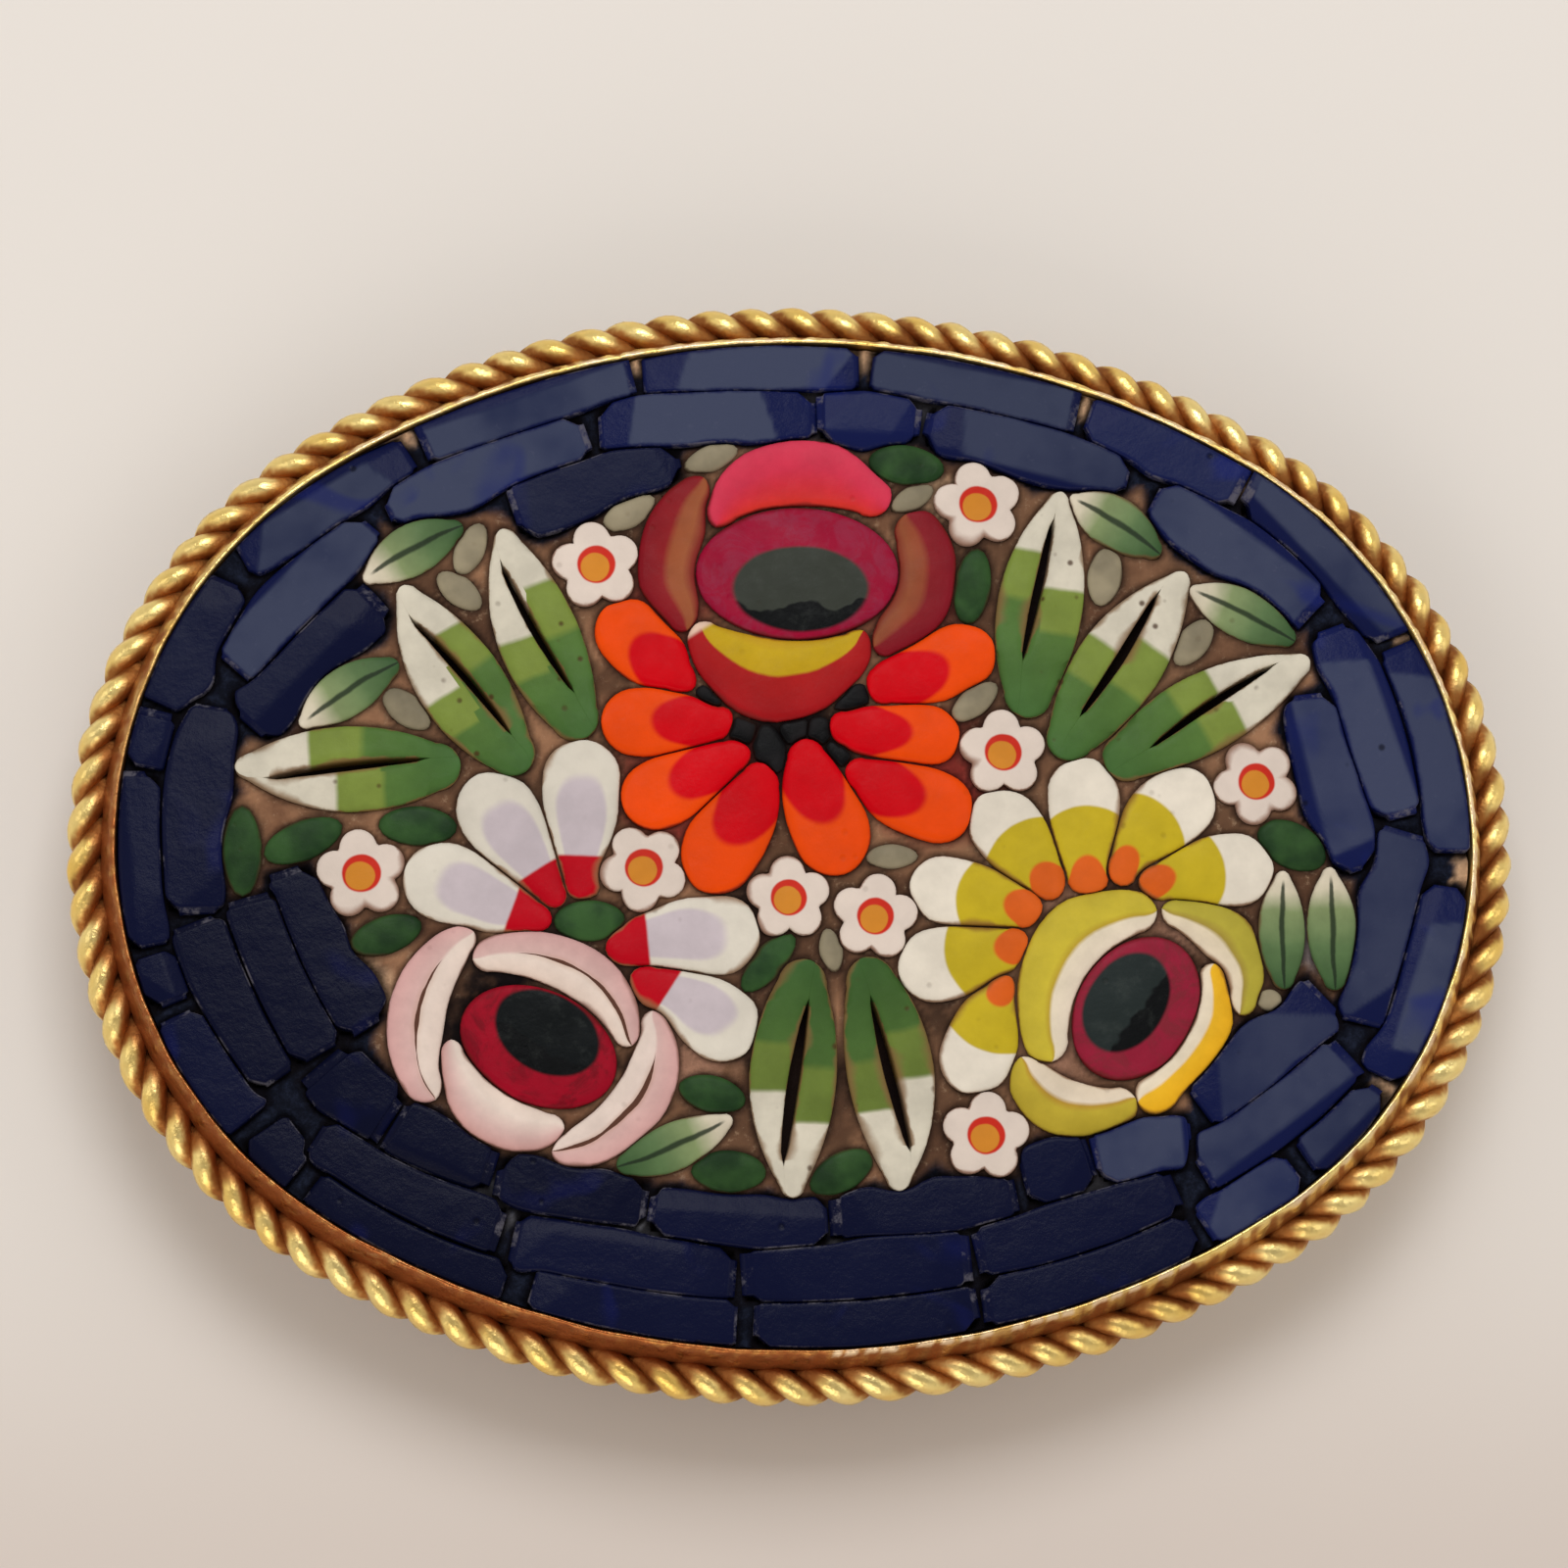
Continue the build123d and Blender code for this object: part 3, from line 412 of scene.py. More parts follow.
class Band:
    """A stone along a centre line: gives the right and left side at any share of its length."""

    def __init__(self, a, m, b, w1, wm, w2, round_ends, wall=None):
        self.left, self.right, self.cap_a, self.cap_b = band_key(a, m, b, w1, wm, w2, round_ends)
        self.lines = [arc_points(*self.left, 24), arc_points(*self.right, 24)]
        self.a, m, self.b = (middle_of(p, q) for p, q in zip(self.left, self.right))
        self.body = math.dist(self.a, m) + math.dist(m, self.b)
        self.ra = math.dist(self.left[0], self.right[0]) / 2 if round_ends else 0.0
        self.rb = math.dist(self.left[2], self.right[2]) / 2 if round_ends else 0.0
        self.length = self.ra + self.body + self.rb
        self.corners = (0.0,) * 4
        self.wall = wall
        self.table = None

    def chart_sides(self, share):
        """Right and left point of the stone as charted, the ends included."""
        d = share * self.length
        if self.ra <= d and self.length - d >= self.rb:
            q = (d - self.ra) / self.body
            return [along(self.lines[1], q), along(self.lines[0], q)]
        if d < self.ra:
            end, r, far, mid, cap = 0, self.ra, self.ra - d, self.a, self.cap_a
        else:
            end, r, far, mid, cap = 2, self.rb, self.rb - (self.length - d), self.b, self.cap_b
        x, y = moved(mid, ((cap[0] - mid[0]) / r, (cap[1] - mid[1]) / r), far)
        k = math.sqrt(max(r * r - far * far, 0.0)) / r
        return [(x + (p[0] - mid[0]) * k, y + (p[1] - mid[1]) * k) for p in (self.right[end], self.left[end])]

    def sides(self, share):
        """Right and left point of the stone once it has spread to its neighbours."""
        if self.table is None:
            right, left = self.chart_sides(share)
        else:
            k = math.acos(clamp(1 - 2 * share, -1.0, 1.0)) / math.pi * STATIONS
            i = min(int(k), STATIONS - 1)
            right, left = (side[i] + (side[i + 1] - side[i]) * (k - i) for side in self.table)
        width = max(math.dist(right, left), 0.01)
        d, e = share * self.length, (1 - share) * self.length
        cuts = [max(c - reach, 0.0) * 0.8 / width for c, reach in zip(self.corners, (d, d, e, e))]
        cut_right, cut_left = max(cuts[0], cuts[2]), max(cuts[1], cuts[3])
        right, left = ([right[k] + (left[k] - right[k]) * cut_right for k in (0, 1)],
                       [left[k] + (right[k] - left[k]) * cut_left for k in (0, 1)])
        if self.wall is not None:
            right, left = keep_inside(*right, self.wall), keep_inside(*left, self.wall)
        return [tuple(right), tuple(left)]


class Stone:
    """A charted stone that spreads until it nearly meets its neighbours, at most by its kind's limit."""

    def __init__(self, kind, row, band=None, centre=None, reach=None, spread=0.1, root=0.0):
        self.kind, self.row, self.band, self.centre = kind, row, band, centre
        self.square = band is not None and band.ra == 0.0
        self.ends = np.zeros(2)
        n = STATIONS
        if band is None:
            angles = [2 * math.pi * i / AROUND for i in range(AROUND)]
            self.normal = np.array([(math.cos(q), math.sin(q)) for q in angles])
            self.base = np.array(centre) + self.normal * np.array([reach(q) for q in angles])[:, None]
            self.limit = np.full(AROUND, spread)
        else:
            shares = [0.5 - 0.5 * math.cos(math.pi * i / n) for i in range(n + 1)]
            right, left = np.array([band.chart_sides(share) for share in shares]).transpose(1, 0, 2)
            limits = np.array([spread + root * (1 - share) ** 1.5 for share in shares])
            if self.square:
                quarters = np.array([[0.25], [0.5], [0.75]])
                ends = [a + (b - a) * quarters for a, b in ((right[n], left[n]), (left[0], right[0]))]
                self.base = np.vstack([right, ends[0], left[::-1], ends[1]])
                self.limit = np.concatenate([limits, np.full(3, spread), limits[::-1], np.full(3, spread)])
            else:
                self.base = np.vstack([right, left[n - 1:0:-1]])
                self.limit = np.concatenate([limits, limits[n - 1:0:-1]])
            run = np.roll(self.base, -1, 0) - np.roll(self.base, 1, 0)
            self.normal = np.stack([run[:, 1], -run[:, 0]], 1) / np.maximum(np.hypot(*run.T), 1e-9)[:, None]
        self.out = np.zeros(len(self.base))
        if self.square:
            for i, j in ((0, 1), (n, n - 1), (n + 4, n + 5), (2 * n + 4, 2 * n + 3)):
                self.normal[i] = self.normal[j]
            way = np.subtract(band.b, band.a) / math.dist(band.a, band.b)
            self.axis = np.array([way, -way])
            self.end_points = [list(range(n, n + 5)), [2 * n + 4, 2 * n + 5, 2 * n + 6, 2 * n + 7, 0]]
            for spots in self.end_points:
                self.normal[spots[1:4]] = 0.0

    def ring(self):
        """The outline as spread so far."""
        points = self.base + self.normal * self.out[:, None]
        if self.square:
            for end, spots in enumerate(self.end_points):
                points[spots] += self.axis[end] * self.ends[end]
        return points

    def grow(self, room, step):
        """One round: moves the outline out by the step where there is room."""
        room = np.clip(room, 0.0, step)
        if self.square:
            for end, spots in enumerate(self.end_points):
                free = room[spots].min()
                self.ends[end] = min(self.ends[end] + free * 0.8, self.limit[0])
                room[[spots[0], spots[-1]]] *= 0.6
                room[spots[1:4]] = np.inf
        room = np.minimum(room, np.minimum(np.roll(room, 1), np.roll(room, -1)))
        self.out = np.minimum(self.out + np.minimum(room, step), self.limit)

    def settle(self):
        """Smooths the spread outline and hands it to the stone's band."""
        n = STATIONS
        for _ in range(2):
            if self.square:
                for part in (self.out[:n + 1], self.out[n + 4:2 * n + 5]):
                    part[1:-1] = (part[:-2] + 2 * part[1:-1] + part[2:]) / 4
            else:
                self.out = (np.roll(self.out, 1) + 2 * self.out + np.roll(self.out, -1)) / 4
        self.shape = points = self.ring()
        if self.band is not None:
            around = np.vstack([points[:1], points[:n - 1:-1]])
            left = points[n + 4:2 * n + 5][::-1] if self.square else around
            self.band.table = (points[:n + 1], left)
            self.band.length += self.ends.sum()

    def reach(self, angle):
        """Radius of a round stone after it has spread."""
        k = (angle / (2 * math.pi) % 1.0) * AROUND
        i = int(k) % AROUND
        r = np.hypot(*(self.shape - self.centre).T)
        return r[i] + (r[(i + 1) % AROUND] - r[i]) * (k - int(k))


def distance_to_runs(points, start, run):
    """Distance from each point to each straight run."""
    gap = points[:, None] - start[None]
    t = np.clip((gap * run).sum(2) / np.maximum((run * run).sum(1), 1e-12), 0, 1)
    return np.hypot(*np.moveaxis(gap - t[:, :, None] * run, 2, 0))


def spread_stones(stones, rounds=9, step=0.05, look=0.6):
    """Lets all stones spread together, a little at a time, each looking at what is near it."""
    wall = np.array([oval_station(i / 180, 0.0)[:2] for i in range(180)])
    for _ in range(rounds):
        rings = [s.ring() for s in stones] + [wall]
        start = np.vstack(rings)
        run = np.vstack([np.roll(r, -1, 0) - r for r in rings])
        owner = np.concatenate([np.full(len(r), i) for i, r in enumerate(rings)])
        rooms = []
        for i, points in enumerate(rings[:-1]):
            low, high = points.min(0) - look, points.max(0) + look
            near = (owner != i) & (np.maximum(start, start + run) > low).all(1)
            near &= (np.minimum(start, start + run) < high).all(1)
            far = distance_to_runs(points, start[near], run[near]).min(1, initial=1.0)
            rooms.append((far - HAIRLINE) / 2)
        for stone, room in zip(stones, rooms):
            stone.grow(room, step)
    for stone in stones:
        stone.settle()
    return stones


def ellipse_reach(rx, ry, turn):
    """Radius at each angle of an ellipse that is turned by some degrees."""
    def reach(angle):
        q = angle - math.radians(turn)
        return rx * ry / math.hypot(ry * math.cos(q), rx * math.sin(q))
    return reach


def daisy_reach(across, turn):
    """Radius of a daisy at each angle: five round lobes."""
    lobe, ring = across * 0.205, across * 0.295

    def reach(angle):
        q = math.radians((math.degrees(angle) - turn + 36) % 72 - 36)
        return ring * math.cos(q) + math.sqrt(max(lobe ** 2 - (ring * math.sin(q)) ** 2, 0.0))
    return reach


laid = {}


def lay_out():
    """All stones of the chart by kind, spread to meet one another."""
    if laid:
        return laid

    def bent(row, round_ends, wall=None):
        return Band((row[1], row[2]), (row[3], row[4]), (row[5], row[6]), *row[7:10], round_ends, wall)

    def oval(length, width, turn):
        return ellipse_reach(length / 2 - GAP / 2, width / 2 - GAP / 2, turn)

    stones = [Stone("ground", r, bent(r, False, TILE_CLEAR if ring == "outer" else None), spread=0.42)
              for ring, rows in GROUND.items() for r in rows]
    stones += [Stone("leaf", r, Band(*leaf_band(r), True), spread=0.05) for r in LEAVES]
    stones += [Stone("petal", r, Band(*petal_band(r), True), spread=0.12, root=0.3) for r in PETALS]
    stones += [Stone("crescent", r, bent(r, True), spread=0.2 if "pink" in r[0] else 0.34)
               for r in CRESCENTS]
    stones += [Stone("heart", r, None, r[1:3], oval(2 * r[3], 2 * r[4], r[5]), 0.1) for r in HEARTS]
    stones += [Stone("small_leaf", r, Band(*small_leaf_band(r), True), spread=0.08) for r in SMALL_LEAVES]
    stones += [Stone("daisy", r, None, r[:2], daisy_reach(r[2] - GAP, r[3]), 0.03) for r in DAISIES]
    stones += [Stone("drop", r, None, r[1:3], oval(*r[3:]), 0.12) for r in OVALS]
    stones += [Stone("chip", r, None, r[:2], oval(*r[2:]), 0.3) for r in CHIPS]
    for stone in spread_stones(stones):
        laid.setdefault(stone.kind, []).append(stone)
    return laid


def ease(edge, radius):
    """How far an eased edge has dropped at a distance from it."""
    if edge >= radius:
        return 0.0
    return radius - math.sqrt(max(radius * radius - (radius - edge) ** 2, 0.0))


def shift_of(rnd):
    """A far-off place in the noise, so that no two stones are worn alike."""
    return Vector((rnd.uniform(-50, 50), rnd.uniform(-50, 50), 0))


def face_height(x, y, rim, shift, lift, ease_by):
    """Height of a stone's face at a place, before its crown and tilt."""
    return STONE_TOP + lift - ease(rim, ease_by) + FACE_LUMPS * noise.noise(Vector((x, y, 3)) * 1.6 + shift)


def to_mesh(bm, name, *materials):
    """Turns finished mesh work into a mesh with its materials."""
    bmesh.ops.recalc_face_normals(bm, faces=bm.faces)
    mesh = bpy.data.meshes.new(name)
    bm.to_mesh(mesh)
    bm.free()
    for material in materials:
        mesh.materials.append(material)
    return mesh


def put_piece(name, mesh, nodes):
    """Links a finished mesh, in place of its nodes of the frame."""
    piece = bpy.data.objects.new(name, mesh)
    bpy.context.scene.collection.objects.link(piece)
    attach(piece, "root")
    if nodes:
        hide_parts(*nodes)
    return piece


class Stones:
    """Gathers stones into one mesh, with their pattern map and finish attribute."""

    def __init__(self):
        self.bm = bmesh.new()
        self.uv = self.bm.loops.layers.uv.new("pattern")
        self.finish = self.bm.verts.layers.float_color.new("finish")

    def sheet(self, columns, rows, place):
        """A grid bent to a stone's top by place(s, t), with walls pulled down from its border.
        place gives x, y, z, pattern u, pattern v and the finish colour."""
        verts = bmesh.ops.create_grid(self.bm, x_segments=columns, y_segments=rows, size=1.0)["verts"]
        faces = list(dict.fromkeys(f for v in verts for f in v.link_faces))
        where = {v: place((v.co.x + 1) / 2, v.co.y) for v in verts}
        for v in verts:
            v.co = [c * MM for c in where[v][:3]]
            v[self.finish] = where[v][5]
        for f in faces:
            f.smooth = True
            for loop in f.loops:
                loop[self.uv].uv = where[loop.vert][3:5]
        bmesh.ops.remove_doubles(self.bm, verts=verts, dist=WELD)
        rim = list(dict.fromkeys(e for f in faces if f.is_valid for e in f.edges if e.is_boundary))

        def spot(loop):
            return round(loop.vert.co.x * 1e8), round(loop.vert.co.y * 1e8)

        pattern = {}
        for e in rim:
            for loop in e.link_loops[0], e.link_loops[0].link_loop_next:
                pattern[spot(loop)] = loop[self.uv].uv.copy()
        for made in bmesh.ops.extrude_edge_only(self.bm, edges=rim)["geom"]:
            if isinstance(made, bmesh.types.BMVert):
                made.co.z = STONE_FOOT * MM
                made[self.finish] = (0.0, *made[self.finish][1:])
            elif isinstance(made, bmesh.types.BMFace):
                made.smooth = True
                for loop in made.loops:
                    loop[self.uv].uv = pattern[spot(loop)]

    def band(self, band, seed, tone, ease_by, lift, tilt=(0, 0), crown=0.03, columns=18, rows=10,
             halves=None, remap=None, rough=0.012, facets=()):
        """One stone along a band. halves gives the offset and half width of a slit at each share,
        and remap moves the painted borders along the stone."""
        rnd = random.Random(seed)
        shift = shift_of(rnd)
        wobble = [rnd.uniform(-rough, rough) for _ in range(2)]
        middle = middle_of(band.a, band.b)

        def place(s, t, side=0):
            share = 0.5 - 0.5 * math.cos(math.pi * s)
            right, left = band.sides(share)
            half = math.dist(right, left) / 2
            if side == 0:
                v = math.sin(math.pi / 2 * t)
                edge = half * (1 - abs(v))
            else:
                offset, slit = halves(share)
                q = 0.5 - 0.5 * math.cos(math.pi * t) if slit > 0 else 1 - math.cos(math.pi / 2 * t)
                inner = clamp((offset + side * slit) / max(half, 1e-3), -0.85, 0.85)
                v = inner + (side - inner) * q
                edge = half * abs(side - v)
                if slit > 0.01:
                    edge = min(edge, abs(v * half - offset) - slit + 0.12 * max(0.0, 1 - slit / 0.06))
            x, y = (p + (q - p) * (v + 1) / 2 for p, q in zip(right, left))
            cap = min(share, 1 - share) * band.length
            rim = max(min(edge, max(cap, edge) if band.ra else cap), 0.0)
            x += noise.noise(Vector((x, y, 0)) * 0.9 + shift) * rough + wobble[0]
            y += noise.noise(Vector((x, y, 7)) * 0.9 + shift) * rough + wobble[1]
            z = face_height(x, y, rim, shift, lift, ease_by) - crown * v * v
            z += (x - middle[0]) * tilt[0] + (y - middle[1]) * tilt[1]
            # For a ground tile the first tone is its dust and painted sheen, which fades on the facets; for
            # other stones it is their brightness
            dust_and_sheen = tone[0]
            for fx, fy, nx, ny, slope in facets:
                beyond = (x - fx) * nx + (y - fy) * ny
                if beyond > 0:
                    z -= beyond * slope
                    dust_and_sheen *= max(1 - beyond / DUST_AND_SHEEN_FADE, 0.0)
            u = remap(share, v) if remap else share
            return x, y, min(z, LIP - BELOW_LIP), u, (v + 1) / 2, (min(rim, 1.0), dust_and_sheen, tone[1], 1.0)

        if halves is None:
            self.sheet(columns, rows, place)
        else:
            for side in (-1, 1):
                self.sheet(columns, rows // 2 + 1, lambda s, t, side=side: place(s, (t + 1) / 2, side))

    def disc(self, centre, reach, seed, tone, ease_by, around, rings, crown, scale=1.0, lift=0.0, rough=0.01):
        """One stone round a centre. reach(angle) gives its radius, and the pattern map is the place
        from the centre."""
        shift = shift_of(random.Random(seed))
        cx, cy = centre

        def place(s, t):
            angle = 2 * math.pi * s
            share = math.sin(math.pi / 2 * (t + 1) / 2)
            r = reach(angle)
            rim = r * (1 - share)
            x, y = cx + r * share * math.cos(angle), cy + r * share * math.sin(angle)
            z = face_height(x, y, rim, shift, lift, ease_by) - crown * share * share
            u, v = (x - cx) / scale * 0.5 + 0.5, (y - cy) / scale * 0.5 + 0.5
            x += noise.noise(Vector((x, y, 0)) * 0.9 + shift) * rough
            return x, y, min(z, LIP - BELOW_LIP), u, v, (min(rim, 1.0), tone[0], tone[1], 1.0)

        self.sheet(around, rings, place)

    def put(self, name, material, nodes):
        """Clears up the mesh and links it as a piece."""
        for f in [f for f in self.bm.faces if f.calc_area() < 1e-13]:
            self.bm.faces.remove(f)
        bmesh.ops.delete(self.bm, geom=[v for v in self.bm.verts if not v.link_faces], context="VERTS")
        return put_piece(name, to_mesh(self.bm, name, material), nodes)


class Finish:
    """A material made of nodes, with short ways to add each kind."""

    def __init__(self, name, roughness, **sockets):
        self.material = bpy.data.materials.new(name)
        self.material.use_nodes = True
        self.tree = self.material.node_tree
        self.shader = self.tree.nodes["Principled BSDF"]
        for key, value in {"Roughness": roughness, "Specular IOR Level": 0.06, **sockets}.items():
            self.shader.inputs[key.replace("_", " ")].default_value = value

    def node(self, kind, inputs=(), **settings):
        """A new node, each input linked to a socket or set to a value."""
        made = self.tree.nodes.new(kind)
        for key, value in settings.items():
            setattr(made, key, value)
        for key, value in dict(inputs).items():
            if isinstance(value, bpy.types.NodeSocket):
                self.tree.links.new(value, made.inputs[key])
            else:
                made.inputs[key].default_value = value
        return made

    def add(self, kind, output=0, inputs=(), **settings):
        return self.node(kind, inputs, **settings).outputs[output]

    def place(self):
        return self.add("ShaderNodeTexCoord", "Object")

    def grain(self, scale, detail=3.0, rough=0.5, warp=0.0):
        return self.add("ShaderNodeTexNoise", "Fac", {
            "Vector": self.place(), "Scale": scale, "Detail": detail, "Roughness": rough, "Distortion": warp})

    def calc(self, how, a, b=0.0, c=None):
        inputs = {0: a, 1: b} if c is None else {0: a, 1: b, 2: c}
        return self.add("ShaderNodeMath", 0, inputs, operation=how)

    def times(self, a, b):
        return self.calc("MULTIPLY", a, b)

    def power(self, a, b):
        return self.calc("POWER", a, b)

    def off(self, value, middle=0.5):
        """Distance of a value from a middle."""
        return self.calc("ABSOLUTE", self.calc("SUBTRACT", value, middle))

    def wavy(self, value, amount, *grain):
        """The value, made uneven by grain."""
        return self.calc("MULTIPLY_ADD", self.calc("SUBTRACT", self.grain(*grain), 0.5), amount, value)

    def step(self, value, low, high, out_low=0.0, out_high=1.0):
        return self.add("ShaderNodeMapRange", 0, {0: value, 1: low, 2: high, 3: out_low, 4: out_high},
                        interpolation_type="SMOOTHSTEP")

    def mix(self, share, a, b, how="MIX"):
        a, b = (c if isinstance(c, bpy.types.NodeSocket) else (*c, 1.0) for c in (a, b))
        return self.add("ShaderNodeMix", 2, {0: share, 6: a, 7: b}, data_type="RGBA", blend_type=how)

    def over(self, paint, share, *colour):
        """The paint with a share of another colour laid over it."""
        return self.mix(share, paint, rgb(*colour))

    def blend(self, share, low, high):
        """From one colour to another."""
        return self.mix(share, rgb(*low), rgb(*high))

    def spots(self, scale, low, high, patch):
        """Small round spots in patches."""
        far = self.add("ShaderNodeTexVoronoi", "Distance", {"Vector": self.place(), "Scale": scale})
        return self.times(self.step(far, low, high, 1.0, 0.0), patch)

    def ramp(self, value, stops):
        made = self.node("ShaderNodeValToRGB", {0: value})
        items = made.color_ramp.elements
        while len(items) < len(stops):
            items.new(0.5)
        for item, (spot, colour) in zip(items, stops):
            item.position = spot
            item.color = (*rgb(*colour), 1.0)
        return made.outputs[0]

    def pattern(self, u_wave, v_wave, scale):
        """The stone's own pattern place, u along and v across, with a hand-drawn waver."""
        place = self.add("ShaderNodeUVMap", uv_map="pattern")
        u, v = self.node("ShaderNodeSeparateXYZ", {0: place}).outputs[:2]
        u = self.wavy(u, u_wave, scale) if u_wave else u
        return u, self.wavy(v, v_wave, scale * 1.3) if v_wave else v

    def painted(self, layer):
        """Colour and alpha of a colour layer of the mesh."""
        return self.node("ShaderNodeVertexColor", layer_name=layer).outputs[:2]

    def stone_facts(self):
        """How far in from the stone's rim, and the stone's two tones."""
        return self.node("ShaderNodeSeparateColor", {0: self.painted("finish")[0]}).outputs[:3]

    def link(self, socket, key="Base Color"):
        self.tree.links.new(socket, self.shader.inputs[key])

    def bump(self, height, strength, distance):
        made = self.add("ShaderNodeBump", 0, {"Height": height, "Strength": strength, "Distance": distance})
        self.link(made, "Normal")


def rgb(r, g, b):
    """A colour read from 0 to 255, as linear light."""
    shares = (c / 255 for c in (r, g, b))
    return tuple(c / 12.92 if c <= 0.04045 else ((c + 0.055) / 1.055) ** 2.4 for c in shares)


def dress_glass(f, paint, rim_colour, rim, pits, cloud=0.16, clean=0.5):
    """What all the glass stones share: cloudy colour, fine grain, small pits and mastic on the rim."""
    inner, tone, _ = f.stone_facts()
    cloudy = f.step(f.grain(700.0, 4.0, 0.6), 0.25, 0.75, 1 - cloud, 1 + cloud * 0.5)
    for level in (cloudy, tone):
        even = f.add("ShaderNodeCombineXYZ", 0, dict.fromkeys(range(3), level))
        paint = f.mix(1.0, paint, even, "MULTIPLY")
    stained = f.step(f.grain(330.0, 3.0, 0.6), 0.45, 0.7, 0.15, 2.2)
    ragged = f.calc("DIVIDE", f.wavy(inner, rim * 1.4, 1500.0, 4.0, 0.7), stained)
    paint = f.over(paint, f.step(ragged, 0.0, rim * 1.3, 0.8, 0.0), *rim_colour)
    pit = f.spots(1300.0, 0.05, 0.17, f.step(f.grain(420.0, 2.0), clean, clean + 0.12))
    f.link(f.over(paint, f.times(pit, pits), 70, 44, 26))
    worn = f.grain(900.0, 5.0, 0.65)
    height = f.calc("MULTIPLY_ADD", worn, 1.6, f.grain(5200.0, 4.0, 0.7))
    f.bump(f.calc("MULTIPLY_ADD", pit, -1.4, height), 0.35, 0.00003)
    f.link(f.step(worn, 0.3, 0.7, 0.3, 0.52), "Roughness")
    return f.material


def tile_glass():
    """Blue smalti: ground face with dust and a painted grey sheen that stands in for the window's reflection,
    clear deep blue on the bevels and in patches.
    """
    f = Finish("blue_tile_glass", 0.32)
    inner, dust_and_sheen, hue = f.stone_facts()
    deep = f.blend(hue, (9, 12, 34), (18, 26, 76))
    dull = f.blend(hue, (16, 20, 42), (40, 49, 84))
    grey = f.blend(hue, (36, 42, 64), (66, 73, 99))
    clear = f.blend(hue, (14, 18, 62), (22, 34, 110))
    # Painted sheen: the grey face and the dust specks grow with dust_and_sheen, which is real dust together
    # with the window's reflection painted in
    worn = f.calc("ADD", f.grain(260.0, 3.0, 0.6), f.times(dust_and_sheen, 0.35))
    middle = f.step(f.wavy(inner, 0.3, 900.0, 4.0, 0.65), 0.0, 0.14)
    shown = f.times(middle, f.step(dust_and_sheen, 0.0, 0.9, 0.05, 1.0))
    base = f.mix(shown, deep, f.mix(f.step(worn, 0.5, 0.85), dull, grey))
    base = f.mix(f.step(f.grain(330.0, 2.0, 0.5, 0.6), 0.6, 0.72, 0.0, 0.6), base, clear)
    dust = f.step(f.grain(2600.0, 5.0, 0.8), 0.58, 0.78, 0.0, 0.4)
    base = f.over(base, f.times(dust, dust_and_sheen), 84, 88, 110)
    patch = f.step(f.grain(700.0, 5.0, 0.8), 0.5, 0.64, 0.0, 0.7)
    base = f.over(base, f.times(f.step(inner, 0.02, 0.07, 1.0, 0.0), patch), 98, 96, 106)
    chip = f.spots(900.0, 0.04, 0.13, f.step(f.grain(300.0, 1.0), 0.54, 0.6))
    f.link(f.over(base, f.times(chip, 0.75), 8, 9, 22))
    height = f.calc("ADD", f.grain(4200.0, 4.0, 0.7), f.grain(700.0, 4.0, 0.6))
    f.bump(f.calc("MULTIPLY_ADD", chip, -1.5, height), 0.45, 0.00004)
    f.link(f.step(shown, 0.0, 1.0, 0.26, 0.55), "Roughness")
    return f.material


def leaf_glass():
    """Green root, lime band and white tip, deeper on the leaves that point down."""
    f = Finish("leaf_glass", 0.36)
    u, _ = f.pattern(0.035, 0.0, 500.0)
    green, lime, white = (84, 116, 56), (124, 142, 64), (206, 200, 184)
    paint = f.ramp(u, [(0.0, (68, 104, 54)), (0.385, green), (0.415, lime), (0.585, lime),
                       (0.605, white), (1.0, white)])
    paint = f.over(paint, f.times(f.stone_facts()[2], f.step(u, 0.585, 0.605, 0.4, 0.0)), 34, 62, 26)
    return dress_glass(f, paint, (126, 94, 62), rim=0.16, pits=0.85, clean=0.4)


def small_leaf_glass():
    """Green root that pales to a white tip, with a dark vein."""
    f = Finish("small_leaf_glass", 0.36)
    u, v = f.pattern(0.12, 0.12, 700.0)
    paint = f.ramp(u, [(0.0, (54, 84, 50)), (0.35, (88, 114, 74)), (0.64, (128, 144, 100)),
                       (0.82, (202, 194, 172)), (1.0, (214, 204, 186))])
    vein = f.times(f.step(f.off(v), 0.03, 0.09, 1.0, 0.0), f.step(u, 0.85, 0.95, 1.0, 0.0))
    paint = f.over(paint, f.times(vein, 0.9), 32, 44, 30)
    return dress_glass(f, paint, (104, 74, 50), rim=0.07, pits=0.3)


def red_petal_glass():
    """Orange with a deep red drop that fills the root."""
    f = Finish("red_petal_glass", 0.3)
    u, v = f.pattern(0.03, 0.05, 500.0)
    along_it = f.calc("DIVIDE", f.calc("MAXIMUM", f.calc("SUBTRACT", u, 0.2), 0.0), 0.44)
    across = f.calc("DIVIDE", f.off(v), 0.46)
    drop = f.calc("ADD", f.power(along_it, 2.0), f.power(across, 2.0))
    drop = f.times(drop, f.step(u, 0.15, 0.5, 0.6, 1.0))
    paint = f.blend(f.step(drop, 0.86, 1.14), (198, 0, 16), (228, 72, 8))
    return dress_glass(f, paint, (120, 36, 26), rim=0.05, pits=0.1, cloud=0.1)


def lilac_petal_glass():
    """White with a pale lilac middle and a crimson root."""
    f = Finish("lilac_petal_glass", 0.34)
    u, v = f.pattern(0.04, 0.05, 500.0)
    across, along_it = f.calc("DIVIDE", f.off(v), 0.36), f.calc("DIVIDE", f.off(u, 0.38), 0.4)
    zone = f.calc("ADD", f.power(across, 3.0), f.power(along_it, 3.0))
    paint = f.blend(f.step(zone, 0.7, 1.25), (192, 181, 188), (212, 206, 194))
    paint = f.over(paint, f.step(u, 0.25, 0.275, 1.0, 0.0), 178, 6, 26)
    return dress_glass(f, paint, (140, 104, 72), rim=0.12, pits=0.3, cloud=0.1)


